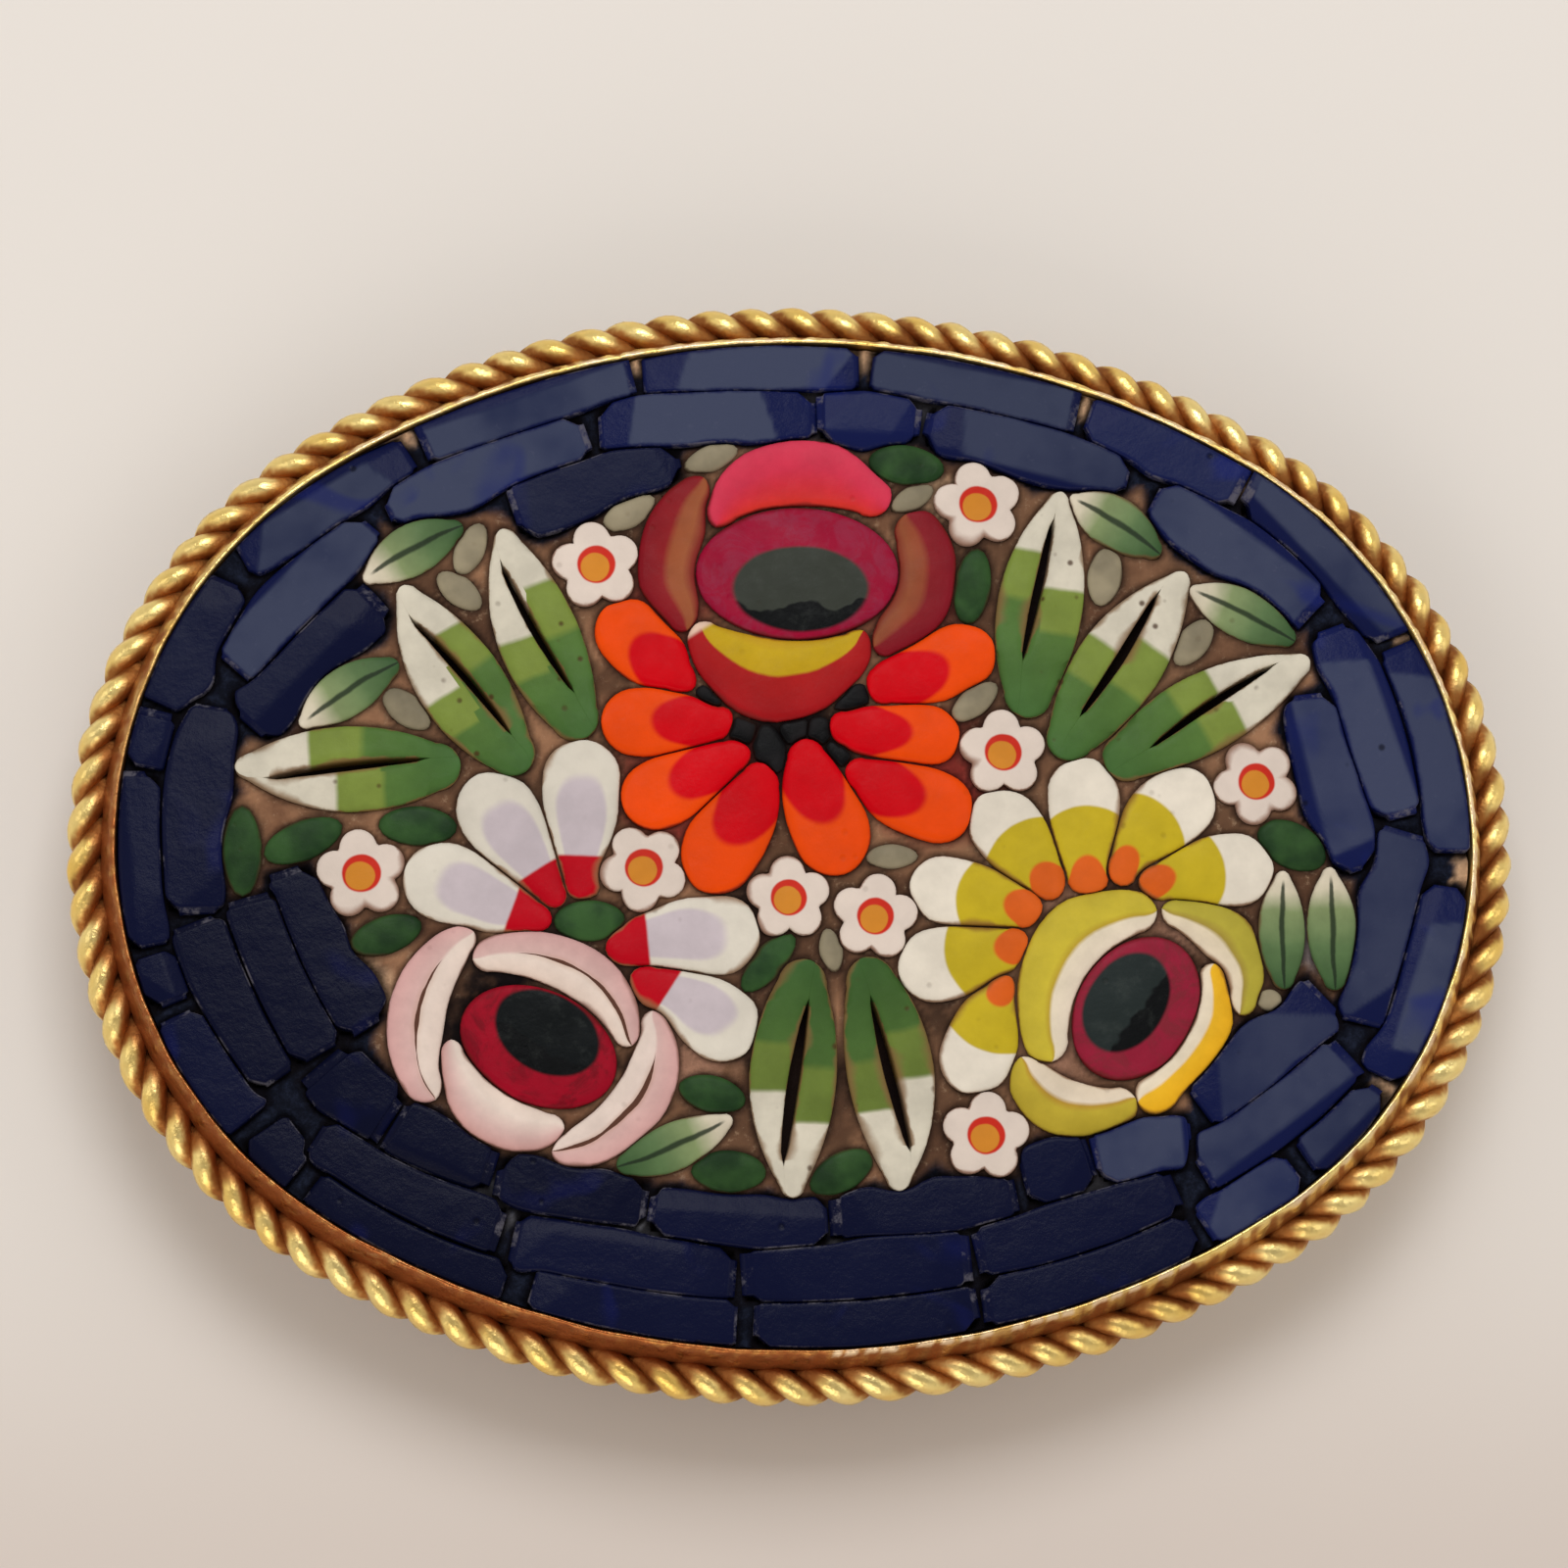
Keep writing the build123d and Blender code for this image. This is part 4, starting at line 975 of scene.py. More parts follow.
def yellow_petal_glass():
    """White tip, mustard body and an orange spot at the root."""
    f = Finish("yellow_petal_glass", 0.34)
    u, v = f.pattern(0.03, 0.05, 500.0)
    square = f.power(f.off(v), 2.0)
    tip, spot = (f.calc("MULTIPLY_ADD", square, bend, u) for bend in (0.35, 0.7))
    paint = f.blend(f.step(tip, 0.635, 0.66), (190, 168, 36), (224, 216, 202))
    paint = f.over(paint, f.step(spot, 0.24, 0.28, 0.95, 0.0), 212, 88, 30)
    return dress_glass(f, paint, (128, 84, 48), rim=0.11, pits=0.25, cloud=0.12)


def striped_glass(name, stops, rim_colour, tip, crack):
    """A rose petal in bands that run along it, from its inner side to its outer side."""
    f = Finish(name, 0.32)
    u, v = f.pattern(0.0, 0.07, 380.0)
    paint = f.ramp(v, stops)
    if crack:
        wide = f.times(f.step(f.grain(260.0, 3.0, 0.6), 0.38, 0.6), f.step(u, 0.2, 0.4))
        line = f.calc("LESS_THAN", f.off(v, crack), f.times(wide, 0.05))
        halo = f.times(f.step(f.off(v, crack), 0.0, 0.14, 0.6, 0.0), wide)
        paint = f.over(f.over(paint, halo, 176, 130, 104), line, 88, 56, 44)
    if tip:
        paint = f.over(paint, f.step(u, *tip, 1.0, 0.0), 222, 190, 170)
    return dress_glass(f, paint, rim_colour, rim=0.08, pits=0.15, cloud=0.14)


def heart_glass(name, ring, core, shade, spot, size, turn):
    """A rose heart: crimson ring in smoky streaks round a dark oval set off its centre, painted black on its
    lower side as shade.
    """
    f = Finish(name, 0.28)

    def mapped(vector, **changes):
        return f.add("ShaderNodeMapping", 0, {"Vector": vector, **changes})

    placed = mapped(f.place(), Location=(-spot[0] * MM, -spot[1] * MM, 0))
    turned = mapped(placed, Rotation=(0, 0, -math.radians(turn)), Scale=(1, 1, 0))
    scaled = mapped(turned, Scale=(1 / size[0] / MM, 1 / size[1] / MM, 0))
    wave = f.wavy(f.add("ShaderNodeVectorMath", "Value", {0: scaled}, operation="LENGTH"), 0.12, 420.0, 2.0)
    streaked = f.blend(f.step(f.grain(620.0, 5.0, 0.7, 2.0), 0.42, 0.62), ring, shade)
    height = f.wavy(f.add("ShaderNodeSeparateXYZ", 1, {0: scaled}), 0.9, 900.0, 2.0)
    # Painted shade: the lower side of the core is painted near black
    dark = f.blend(f.step(height, -0.42, -0.34, 1.0, 0.0), core, (8, 10, 12))
    dark = f.over(dark, f.step(f.grain(1400.0, 4.0, 0.7), 0.5, 0.8, 0.0, 0.16), 90, 96, 92)
    paint = f.mix(f.step(wave, 0.93, 1.03), dark, streaked)
    return dress_glass(f, paint, (96, 26, 26), rim=0.08, pits=0.05, cloud=0.12)


def daisy_glass():
    """White lobes round a red ring and an ochre eye."""
    f = Finish("daisy_glass", 0.34)
    u, v = f.pattern(0.03, 0.03, 900.0)

    def from_spot(x, y):
        return f.calc("SQRT", f.calc("ADD", f.power(f.off(u, x), 2.0), f.power(f.off(v, y), 2.0)))

    paint = f.blend(f.step(from_spot(0.5, 0.5), 0.2, 0.225, 1.0, 0.0), (218, 204, 194), (196, 44, 30))
    paint = f.over(paint, f.step(from_spot(0.485, 0.47), 0.15, 0.17, 1.0, 0.0), 204, 132, 44)
    return dress_glass(f, paint, (128, 84, 62), rim=0.14, pits=0.2, cloud=0.08)


def drop_glass():
    """Cloudy green or grey, as the stone's second tone says."""
    f = Finish("drop_glass", 0.36)
    cloud = f.step(f.grain(800.0), 0.3, 0.7)
    green = f.blend(cloud, (30, 54, 30), (52, 84, 44))
    grey = f.blend(cloud, (126, 118, 98), (152, 142, 118))
    return dress_glass(f, f.mix(f.stone_facts()[2], green, grey), (66, 50, 36), rim=0.06, pits=0.15)


def black_glass():
    """Near black, a little cloudy."""
    f = Finish("black_glass", 0.3)
    paint = f.blend(f.step(f.grain(900.0), 0.4, 0.7), (12, 12, 14), (30, 28, 30))
    return dress_glass(f, paint, (40, 26, 22), rim=0.04, pits=0.1)


def mastic():
    """Old grouting: brown and crumbly between the flowers, near black between the tiles, with stains, and
    painted shade that darkens it in the narrow gaps.
    """
    f = Finish("mastic", 0.85)
    zone, depth, _ = f.stone_facts()
    stain, strength = f.painted("stain")
    fine, soft = f.grain(2600.0, 5.0, 0.75), f.grain(500.0, 4.0, 0.6)
    brown = f.blend(f.step(soft, 0.3, 0.7), (104, 72, 54), (156, 116, 88))
    brown = f.over(brown, f.step(f.grain(230.0, 2.0), 0.42, 0.6, 0.65, 0.0), 62, 44, 34)
    brown = f.over(brown, f.step(fine, 0.55, 0.75, 0.0, 0.45), 196, 166, 136)
    paint = f.mix(zone, f.blend(f.step(fine, 0.4, 0.7), (12, 15, 26), (30, 36, 54)), brown)
    speckled = f.mix(f.step(fine, 0.4, 0.7, 0.75, 1.15), rgb(0, 0, 0), stain)
    paint = f.mix(f.times(strength, f.step(soft, 0.3, 0.55, 0.55, 1.0)), paint, speckled)
    # Painted shade: the less the mastic is filled, as in the narrow gaps, the nearer to black it is painted
    f.link(f.over(paint, f.times(f.calc("SUBTRACT", depth, 1.0), -0.9), 14, 10, 12))
    f.bump(f.calc("ADD", fine, f.times(soft, 1.5)), 0.9, 0.00008)
    return f.material


def gilt_metal(name, worn):
    """Gilt brass: bright where it is rubbed and where a highlight is painted, brown in the hollows and where
    shade is painted, coppery towards the lower left.
    """
    f = Finish(name, 0.3, Metallic=1.0, Specular_IOR_Level=0.5)
    rub_and_light, tick, copper = f.stone_facts()
    blotch, fine = f.grain(350.0, 4.0, 0.6), f.grain(3000.0, 4.0, 0.7)
    bright = f.blend(f.step(blotch, 0.3, 0.7), (246, 208, 112), (252, 230, 156))
    dull = f.blend(f.step(blotch, 0.3, 0.7), (142, 88, 46), (184, 126, 68))
    # rub_and_light is real rubbing together with painted highlight and shade
    level = f.calc("MULTIPLY_ADD", f.calc("SUBTRACT", blotch, 0.5), worn, rub_and_light)
    paint = f.mix(f.step(level, 0.1, 0.75), dull, bright)
    paint = f.over(paint, f.times(copper, f.step(fine, 0.2, 0.6, 0.7, 1.0)), 158, 92, 50)
    # The pale cream of the ticks, which are painted glints, and of the patches on the lip
    f.link(f.over(paint, tick, 240, 214, 178))
    f.link(f.step(f.calc("ADD", level, f.times(fine, 0.3)), 0.2, 1.1, 0.55, 0.3), "Roughness")
    f.bump(f.calc("ADD", f.times(fine, 0.6), f.times(f.grain(1300.0, 3.0, 0.6), 1.6)), 0.7, 0.00007)
    return f.material


def uneven(x, y, fineness, layer):
    """Smooth noise at a place of the plan, from about -1 to 1."""
    return noise.noise(Vector((x * fineness, y * fineness, layer)))


def tick_marks(count):
    """Painted glints: bright ticks and dark rests of uneven length, one value for each point round the lip.
    """
    rnd = random.Random(9)
    ticks, on = [], False
    while len(ticks) < count:
        on = not on
        ticks += [float(on)] * rnd.choice((2, 3, 3, 4) if on else (1, 2, 2, 5))
    return ticks


def ringed_wall(bm, profile, layer, count=CUP_POINTS):
    """A closed wall round the oval: a ring of points pulled from each profile point to the next.
    A profile point is its offset from the opening, its height, how rubbed and how lit the metal is painted
    there, and how much of the fine ribs and of the bright ticks, which are painted glints, it takes."""
    ring = bmesh.ops.create_circle(bm, segments=count, radius=1.0)["verts"]
    ring.sort(key=lambda v: math.atan2(v.co.y, v.co.x) % (2 * math.pi))
    edges = list(dict.fromkeys(e for v in ring for e in v.link_edges))
    ticks = tick_marks(count)
    for step, (offset, z, rub_and_light, rib, tick) in enumerate(profile):
        if step:
            pulled = bmesh.ops.extrude_edge_only(bm, edges=edges)["geom"]
            fresh = {g for g in pulled if isinstance(g, bmesh.types.BMVert)}
            edges = [e for e in pulled if isinstance(e, bmesh.types.BMEdge) and fresh.issuperset(e.verts)]
            pairs = ((e.other_vert(v), v) for v in fresh for e in v.link_edges)
            follow = {order[old]: new for old, new in pairs if old in order}
            ring = [follow[i] for i in range(count)]
        order = {v: i for i, v in enumerate(ring)}
        for i, v in enumerate(ring):
            x, y, heading = oval_station(i / count, offset)
            ribs = uneven(x, y, 3.2, 9.0)
            n = uneven(x, y, 0.7, 4.0) * 0.03 + ribs * rib
            v.co = ((x + math.sin(heading) * n) * MM, (y - math.cos(heading) * n) * MM, z * MM)
            # Painted glints: bright ticks on the lip along the lower edge; pale cream patches on the lip
            # along the upper right
            shown = tick * ticks[i] if 0.4 < x < 11.5 and y < 0 else 0.0
            if tick >= 0.6 and y > -0.8 * x:
                shown = clamp(0.55 + 1.6 * uneven(x, y, 1.4, 3.0))
            copper = clamp(((-x * 0.9 - y * 1.1) / 20 - 0.15) * 1.4)
            v[layer] = (clamp(rub_and_light + ribs * 0.8 * rib / 0.05), shown, copper, 1.0)


def smooth(bm):
    for f in bm.faces:
        f.smooth = True


def cup_mesh():
    """Back plate, wall and burnished lip of the cup, with the line of solder under the wire."""
    bm = bmesh.new()
    layer = bm.verts.layers.float_color.new("finish")
    low, wall = PLATE_FOOT, bpy.context.scene.brooch_setting.wall_thickness / MM
    # The third value is both rubbing and painted light: low on the wall's outer face, where shade is painted
    # in the groove under the wire
    ringed_wall(bm, [
        (-8.0, low, 0.5, 0, 0),
        (-1.0, low, 0.5, 0, 0),
        (wall - 0.12, low, 0.6, 0, 0),
        (wall - 0.03, low + 0.04, 0.7, 0, 0),
        (wall, low + 0.14, 0.6, 0, 0),
        (wall, low + 0.5, 0.3, 0, 0),
        (wall + 0.2, low + 0.66, 0.15, 0, 0),
        (wall + 0.24, low + 1.5, 0.1, 0.03, 0),
        (wall + 0.12, LIP - 0.75, 0.2, 0.06, 0),
        (wall + 0.03, LIP - 0.5, 0.35, 0.06, 0),
        (wall - 0.02, LIP - 0.25, 0.4, 0.06, 0),
        (wall - 0.08, LIP - 0.1, 0.5, 0.05, 0.9),
        (wall - 0.13, LIP - 0.03, 0.65, 0.03, 1),
        (0.06, LIP, 0.7, 0, 0.6),
        (0.02, LIP - 0.03, 0.8, 0, 0.2),
        (0.0, LIP - 0.12, 0.4, 0, 0),
        (0.0, STONE_FOOT - 0.3, 0.1, 0, 0),
    ], layer)
    for low_ring in (True, False):
        rim = [e for e in bm.edges
               if e.is_boundary and (abs(e.verts[0].co.z - low * MM) < 1e-7) == low_ring]
        bmesh.ops.contextual_create(bm, geom=rim)
    smooth(bm)
    return to_mesh(bm, "gilt_cup", gilt_metal("gilt_cup", 0.7))


def wire_mesh():
    """Two wires twisted round each other and bent round the cup, each a bevelled curve turned to mesh."""
    size = bpy.context.scene.brooch_setting
    rope = size.rope_radius / MM
    strand, apart = rope * 0.565, rope * 0.435
    middle = size.wall_thickness / MM + rope * 0.92
    level = LIP - size.rope_below_lip / MM
    turns = round(oval_length(middle) / (2 * size.rope_pitch / MM))
    count = turns * size.twist_steps
    bm = bmesh.new()
    for which in (0, 1):
        curve = bpy.data.curves.new(f"wire_{which}", "CURVE")
        curve.dimensions = "3D"
        curve.bevel_depth = strand * MM
        curve.bevel_resolution = 3
        curve.resolution_u = 1
        spline = curve.splines.new("POLY")
        spline.use_cyclic_u = True
        spline.points.add(count - 1)
        for i, point in enumerate(spline.points):
            x, y, heading = oval_station(i / count, middle)
            phase = -2 * math.pi * turns * (i / count) + math.pi * which + 0.5 * uneven(x, y, 0.35, 2.0)
            wide = apart * (0.98 + 0.05 * uneven(x, y, 1, 5.0))
            side = math.cos(phase) * wide
            point.co = ((x + math.sin(heading) * side) * MM, (y - math.cos(heading) * side) * MM,
                        (level + math.sin(phase) * wide) * MM, 1.0)
            point.radius = 1.0 + 0.04 * uneven(x, y, 2, 8.0)
        holder = bpy.data.objects.new(f"wire_{which}", curve)
        bpy.context.scene.collection.objects.link(holder)
        bpy.context.view_layer.update()
        mesh = bpy.data.meshes.new_from_object(holder.evaluated_get(bpy.context.evaluated_depsgraph_get()))
        bpy.data.objects.remove(holder)
        bm.from_mesh(mesh)
        bpy.data.meshes.remove(mesh)
    layer = bm.verts.layers.float_color.new("finish")
    for v in bm.verts:
        x, y, z = v.co / MM
        across = -oval_reach(x, y) - middle
        # Painted highlight and shade: each strand's crest is painted bright as rubbed gilding and highlight,
        # the outer side brighter still as a painted reflection of the pale floor, and the inner side brown as
        # painted shade
        outer = clamp((across / rope + 0.4) / 0.7)
        rubbed = clamp((math.hypot(across, z - level) / rope - 0.7) / 0.28)
        copper = clamp((-x * 0.9 - y * 1.1) / 20 - 0.5, 0.0, 0.5) * (1 - outer)
        v[layer] = (rubbed * (0.15 + 0.85 * outer), 0.0, copper, 1.0)
    smooth(bm)
    return to_mesh(bm, "twisted_wire", gilt_metal("gilt_wire", 0.5))


class BROOCH_OT_cup(bpy.types.Operator):
    """Gilt cup with its lip, and the twisted wire soldered round it"""
    bl_idname = "brooch.cup"
    bl_label = "Cup and Twisted Wire"

    def execute(self, context):
        put_piece("gilt_cup", cup_mesh(), ["bezel_tray"])
        put_piece("twisted_wire", wire_mesh(), [])
        return {"FINISHED"}


# Places where the mastic looks different, by tone: its colour, then x, y, reach in mm and strength
STAINS = {
    "beige": ((204, 166, 132), [
        (-11.9, 12.9, 0.7, 1.0), (-4.7, 14.9, 0.6, 1.0), (2.3, 15.2, 0.6, 1.0), (9.2, 13.9, 0.7, 1.0),
        (14.3, 11.1, 0.7, 1.0), (19.0, 5.9, 0.6, 1.0), (20.4, -1.3, 0.6, 1.0), (17.5, -8.0, 0.6, 1.0),
        (-18.5, 3.1, 0.5, 1.0), (-16.0, -2.2, 0.7, 1.0), (4.6, 10.6, 0.9, 0.9), (-13.0, -4.4, 1.0, 0.9)]),
    "rose": ((158, 118, 98), [
        (11.8, -2.7, 1.5, 1.0), (7.6, -7.0, 1.5, 1.0), (7.2, -1.6, 1.3, 0.8), (-3.4, -6.4, 1.6, 0.9),
        (-17.3, -5.4, 0.9, 0.5)]),
    "black": ((20, 15, 17), [
        (-9.9, -5.4, 1.6, 1.0), (-10.2, -6.9, 1.2, 0.9), (-8.9, -4.4, 1.4, 1.0), (-10.3, -3.3, 1.2, 0.8),
        (-5.0, -7.0, 1.0, 0.9), (-4.5, -4.4, 1.3, 1.0), (-7.2, -2.9, 1.3, 1.0), (-0.1, 3.0, 2.6, 0.95),
        (0.9, -7.7, 1.1, 0.8), (0.9, -9.1, 0.9, 0.6), (-1.6, -6.3, 0.9, 0.8), (4.0, -5.6, 0.9, 0.7),
        (0.0, -4.4, 0.8, 0.8), (-5.5, 5.1, 0.9, 0.6), (-10.6, -5.6, 0.8, 1.0), (-1.5, -2.0, 1.5, 0.8),
        (-9.0, 1.2, 1.6, 0.6)]),
    "madder": ((132, 50, 44), [
        (-3.6, 7.4, 1.9, 0.9), (3.6, 7.2, 1.9, 0.9), (-3.2, 1.5, 3.0, 1.0), (4.2, 1.8, 2.6, 1.0)]),
    "dust": ((150, 150, 158), [
        (-9.6, -11.0, 1.2, 0.8), (-7.0, -11.3, 1.4, 0.8), (-4.8, -11.8, 1.0, 0.7), (1.6, -11.7, 1.2, 0.8),
        (4.4, -11.5, 1.3, 0.6), (8.4, -10.7, 1.3, 0.7), (0.0, 13.6, 1.6, 0.6), (4.2, 13.3, 1.3, 0.6),
        (15.5, -3.6, 1.0, 0.5)]),
    "chalk": ((232, 220, 206), [(-3.5, 5.6, 0.35, 1.0)]),
}


def stain_at(x, y):
    """Mixed tone and strength of the stains near a place."""
    total, mixed = 0.0, Vector((0.0, 0.0, 0.0))
    for colour, places in STAINS.values():
        for spot_x, spot_y, reach, strength in places:
            share = strength * clamp(1.6 - 1.6 * math.hypot(x - spot_x, y - spot_y) / reach)
            if share:
                total += share
                mixed += share * Vector(rgb(*colour))
    return (*(mixed / total), min(total, 1.0)) if total else (0.0, 0.0, 0.0, 0.0)


# Stones further than this from a place of the mastic are not looked at, and the gap then counts as far
MASTIC_LOOK = 1.2
FAR = 9.0
# Mastic this far under a stone's edge stays hidden, at the stones' foot
UNDER_STONE = -0.15


def distance_outside(points, shape):
    """Distance from each point to a closed outline, below zero inside it."""
    ahead = np.roll(shape, -1, 0)
    run = ahead - shape
    far = distance_to_runs(points, shape, run).min(1)
    x, y = points[:, :1], points[:, 1:]
    rise = np.where(run[:, 1] == 0, 1.0, run[:, 1])
    over = (shape[:, 1] > y) != (ahead[:, 1] > y)
    crossed = over & (x < run[:, 0] * (y - shape[:, 1]) / rise + shape[:, 0])
    return np.where(crossed.sum(1) % 2, -far, far)


def gaps_at(spots):
    """How far each place is from the nearest ground tile and from the nearest other stone."""
    gaps = np.full((2, len(spots)), FAR)
    for kind, group in lay_out().items():
        for stone in group:
            low, high = stone.shape.min(0) - MASTIC_LOOK, stone.shape.max(0) + MASTIC_LOOK
            near = np.where((spots > low).all(1) & (spots < high).all(1))[0]
            target = gaps[int(kind != "ground")]
            target[near] = np.minimum(target[near], distance_outside(spots[near], stone.shape))
    return gaps


class BROOCH_OT_mastic(bpy.types.Operator):
    """Grouting that rises between the stones, deep in the narrow gaps and painted dark there as shade"""
    bl_idname = "brooch.mastic"
    bl_label = "Mastic"

    def execute(self, context):
        size = context.scene.brooch_setting
        half_x, half_y = size.opening_length / MM / 2 - 0.1, size.opening_width / MM / 2 - 0.1
        bm = bmesh.new()
        layer = bm.verts.layers.float_color.new("finish")
        stain = bm.verts.layers.float_color.new("stain")
        bmesh.ops.create_grid(bm, x_segments=MASTIC_GRID[0], y_segments=MASTIC_GRID[1], size=1.0)
        for v in bm.verts:
            v.co.x *= half_x * MM
            v.co.y *= half_y * MM
        verts = list(bm.verts)
        spots = np.array([(v.co.x / MM, v.co.y / MM) for v in verts])
        for v, (x, y), tile_gap, flower_gap in zip(verts, spots, *gaps_at(spots)):
            gap = min(tile_gap, flower_gap)
            v[stain] = (0.0, 0.0, 0.0, 0.0)
            if gap < UNDER_STONE:
                v.co.z = (STONE_FOOT - 0.03) * MM
                v[layer] = (0.5, 0.0, 0.0, 1.0)
                continue
            zone = clamp((tile_gap - flower_gap) / 0.5 + 0.55)
            n = noise.fractal(Vector((x * 0.8, y * 0.8, 1.0)), 1.0, 2.0, 3)
            fine = uneven(x, y, 4.0, 6.0)
            fill = clamp((gap - 0.02) / (0.22 + 0.04 * zone) + 0.3 * n)
            depth = (0.42 - 0.24 * fill) * (1 - zone) + (0.22 - 0.1 * fill) * zone
            v.co.z = (STONE_TOP - depth + 0.03 * fine) * MM
            # The second channel is how far the mastic is filled, which the material turns into painted shade
            # in the narrow gaps
            v[layer] = (zone, min(1.0, 0.05 + 0.2 * zone + 1.2 * fill), 0.0, 1.0)
            v[stain] = stain_at(x + 0.5 * fine, y + 0.5 * n)
        for v in verts:
            x, y = v.co.x / MM, v.co.y / MM
            if oval_reach(x, y) < MASTIC_CLEAR:
                x, y = keep_inside(x, y, MASTIC_CLEAR)
                v.co.x, v.co.y = x * MM, y * MM
        bmesh.ops.remove_doubles(bm, verts=bm.verts, dist=WELD)
        thin = [f for f in bm.faces if f.calc_area() < 1e-12]
        bmesh.ops.delete(bm, geom=thin, context="FACES_ONLY")
        for kind, parts in (("EDGES", bm.edges), ("VERTS", bm.verts)):
            bmesh.ops.delete(bm, geom=[p for p in parts if not p.link_faces], context=kind)
        smooth(bm)
        mesh = to_mesh(bm, "mastic_grouting", mastic())
        put_piece("mastic_grouting", mesh, ["cement_bed"])
        return {"FINISHED"}


# Tone of a stone that is as bright as its colour says
PLAIN = (1.0, 0.5)

# Tones of the blue tiles: how much dust and painted sheen they take, and navy (0) to cobalt (1)
SHADES = {
    "ink": (0.1, 0.05), "navy": (0.3, 0.25), "blue": (0.75, 0.75), "cobalt": (0.3, 0.95),
    "slate": (1.0, 0.65),
}
# Where the upper field of tiles ends, and how far the corner at the lower left reaches, where the tiles are
# painted darker and with less painted sheen
FIELD_BORDER = -0.5
SHADED_CORNER = -6.5


def tile_facets(band, rnd):
    """Bevels at a tile's ends and long edges that the grinding left, with the clear glass showing."""
    facets = []
    for share in (0.0, 1.0):
        if rnd.random() < 0.45:
            right, left = band.sides(share)
            inner = band.sides(abs(share - rnd.uniform(0.08, 0.22)))
            corner = right if rnd.random() < 0.5 else left
            middle = middle_of(*inner)
            facets.append((*middle, *unit(middle, corner), rnd.uniform(0.06, 0.16)))
    if rnd.random() < 0.4:
        right, left = band.sides(0.5)
        start, end = (right, left) if rnd.random() < 0.5 else (left, right)
        way = unit(start, end)
        cut = math.dist(start, end) * rnd.uniform(0.62, 0.82)
        facets.append((*moved(start, way, cut), *way, rnd.uniform(0.15, 0.4)))
    return facets


class BROOCH_OT_ground_tiles(bpy.types.Operator):
    """Blue tiles in rows round the bouquet"""
    bl_idname = "brooch.ground_tiles"
    bl_label = "Ground Tiles"

    def execute(self, context):
        material = tile_glass()
        for part in ("upper", "lower"):
            stones = Stones()
            for i, stone in enumerate(lay_out()["ground"]):
                x, y = stone.row[3:5]
                if (y > FIELD_BORDER) != (part == "upper"):
                    continue
                rnd = random.Random(100 + i)
                dust_and_sheen, hue = SHADES[stone.row[0]]
                # Painted shade: tiles in the lower left corner lose most of their painted sheen and are
                # painted darker
                if y + 0.45 * x < SHADED_CORNER:
                    dust_and_sheen, hue = dust_and_sheen * 0.4, hue * 0.7
                stone.band.corners = tuple(rnd.choice((0.08, 0.15, 0.3, 0.42)) for _ in range(4))
                stones.band(
                    stone.band, 100 + i,
                    tone=(dust_and_sheen * rnd.uniform(0.7, 1.15), hue * rnd.uniform(0.7, 1.2)),
                    ease_by=rnd.uniform(0.06, 0.11), lift=rnd.uniform(-0.05, 0.02),
                    tilt=(rnd.uniform(-0.008, 0.008), rnd.uniform(-0.03, 0.03)),
                    crown=0.01, columns=50, rows=20, rough=0.02, facets=tile_facets(stone.band, rnd))
            stones.put(f"blue_tiles_{part}", material, [f"ground_tiles_{part}"])
        return {"FINISHED"}


def border_map(green_left, lime_left, green_right, lime_right):
    """Moves the painted borders of a leaf to where each half has them."""
    def remap(share, v):
        green, lime = (green_left, lime_left) if v > 0 else (green_right, lime_right)
        if share < green:
            return share / green * 0.4
        if share < lime:
            return 0.4 + (share - green) / (lime - green) * 0.2
        return 0.6 + (share - lime) / (1 - lime) * 0.4
    return remap


def slit_of(band, row):
    """Offset and half width of a leaf's slit at a share of the leaf's length."""
    slit = Band(*slit_band(row), True)
    cuts = [slit.sides(j / 60) for j in range(61)]
    open_share = 0.95 if "south" in row[0] else 0.75
    table = []
    for share in (i / 40 for i in range(41)):
        mid = middle_of(*band.sides(share))
        ahead, behind = (middle_of(*band.sides(clamp(share + far))) for far in (0.02, -0.02))
        ux, uy = unit(behind, ahead)
        spots = []
        for right, left in cuts:
            x, y = middle_of(right, left)
            x, y = x - mid[0], y - mid[1]
            spots.append((abs(x * ux + y * uy), y * ux - x * uy, math.dist(right, left) / 2))
        run, offset, half = min(spots, key=lambda spot: spot[0])
        table.append((offset, half * open_share if run < 0.12 else 0.0))
    return lambda share: along(table, share)


class BROOCH_OT_leaves(bpy.types.Operator):
    """Eight long leaves, each split along its vein and banded white, lime and green"""
    bl_idname = "brooch.leaves"
    bl_label = "Large Leaves"

    def execute(self, context):
        material = leaf_glass()
        for i, stone in enumerate(lay_out()["leaf"]):
            name = stone.row[0]
            stones = Stones()
            tone = (1.0, 1.0 if "south" in name else 0.25)
            stones.band(stone.band, 200 + i, tone, ease_by=0.11, lift=-0.01, columns=34, rows=14,
                        halves=slit_of(stone.band, stone.row), remap=border_map(*LEAF_BORDERS[name]))
            stones.put(name + "_glass", material, [name])
        return {"FINISHED"}


class BROOCH_OT_petals(bpy.types.Operator):
    """Twenty petals in a red, a lilac and a yellow fan"""
    bl_idname = "brooch.petals"
    bl_label = "Petals"

    def execute(self, context):
        made = {"red": red_petal_glass(), "lilac": lilac_petal_glass(), "yellow": yellow_petal_glass()}
        count = dict.fromkeys(made, 0)
        for i, stone in enumerate(lay_out()["petal"]):
            family = stone.row[0]
            count[family] += 1
            name = f"{family}_petal_{count[family]}"
            rnd = random.Random(300 + i)
            stones = Stones()
            stones.band(
                stone.band, 300 + i,
                tone=(rnd.uniform(0.94, 1.04), 0.5), ease_by=0.13, lift=rnd.uniform(-0.03, 0.01),
                tilt=(rnd.uniform(-0.01, 0.01), rnd.uniform(-0.01, 0.01)), crown=0.04, columns=24, rows=12)
            stones.put(name + "_glass", made[family], [name])
        return {"FINISHED"}


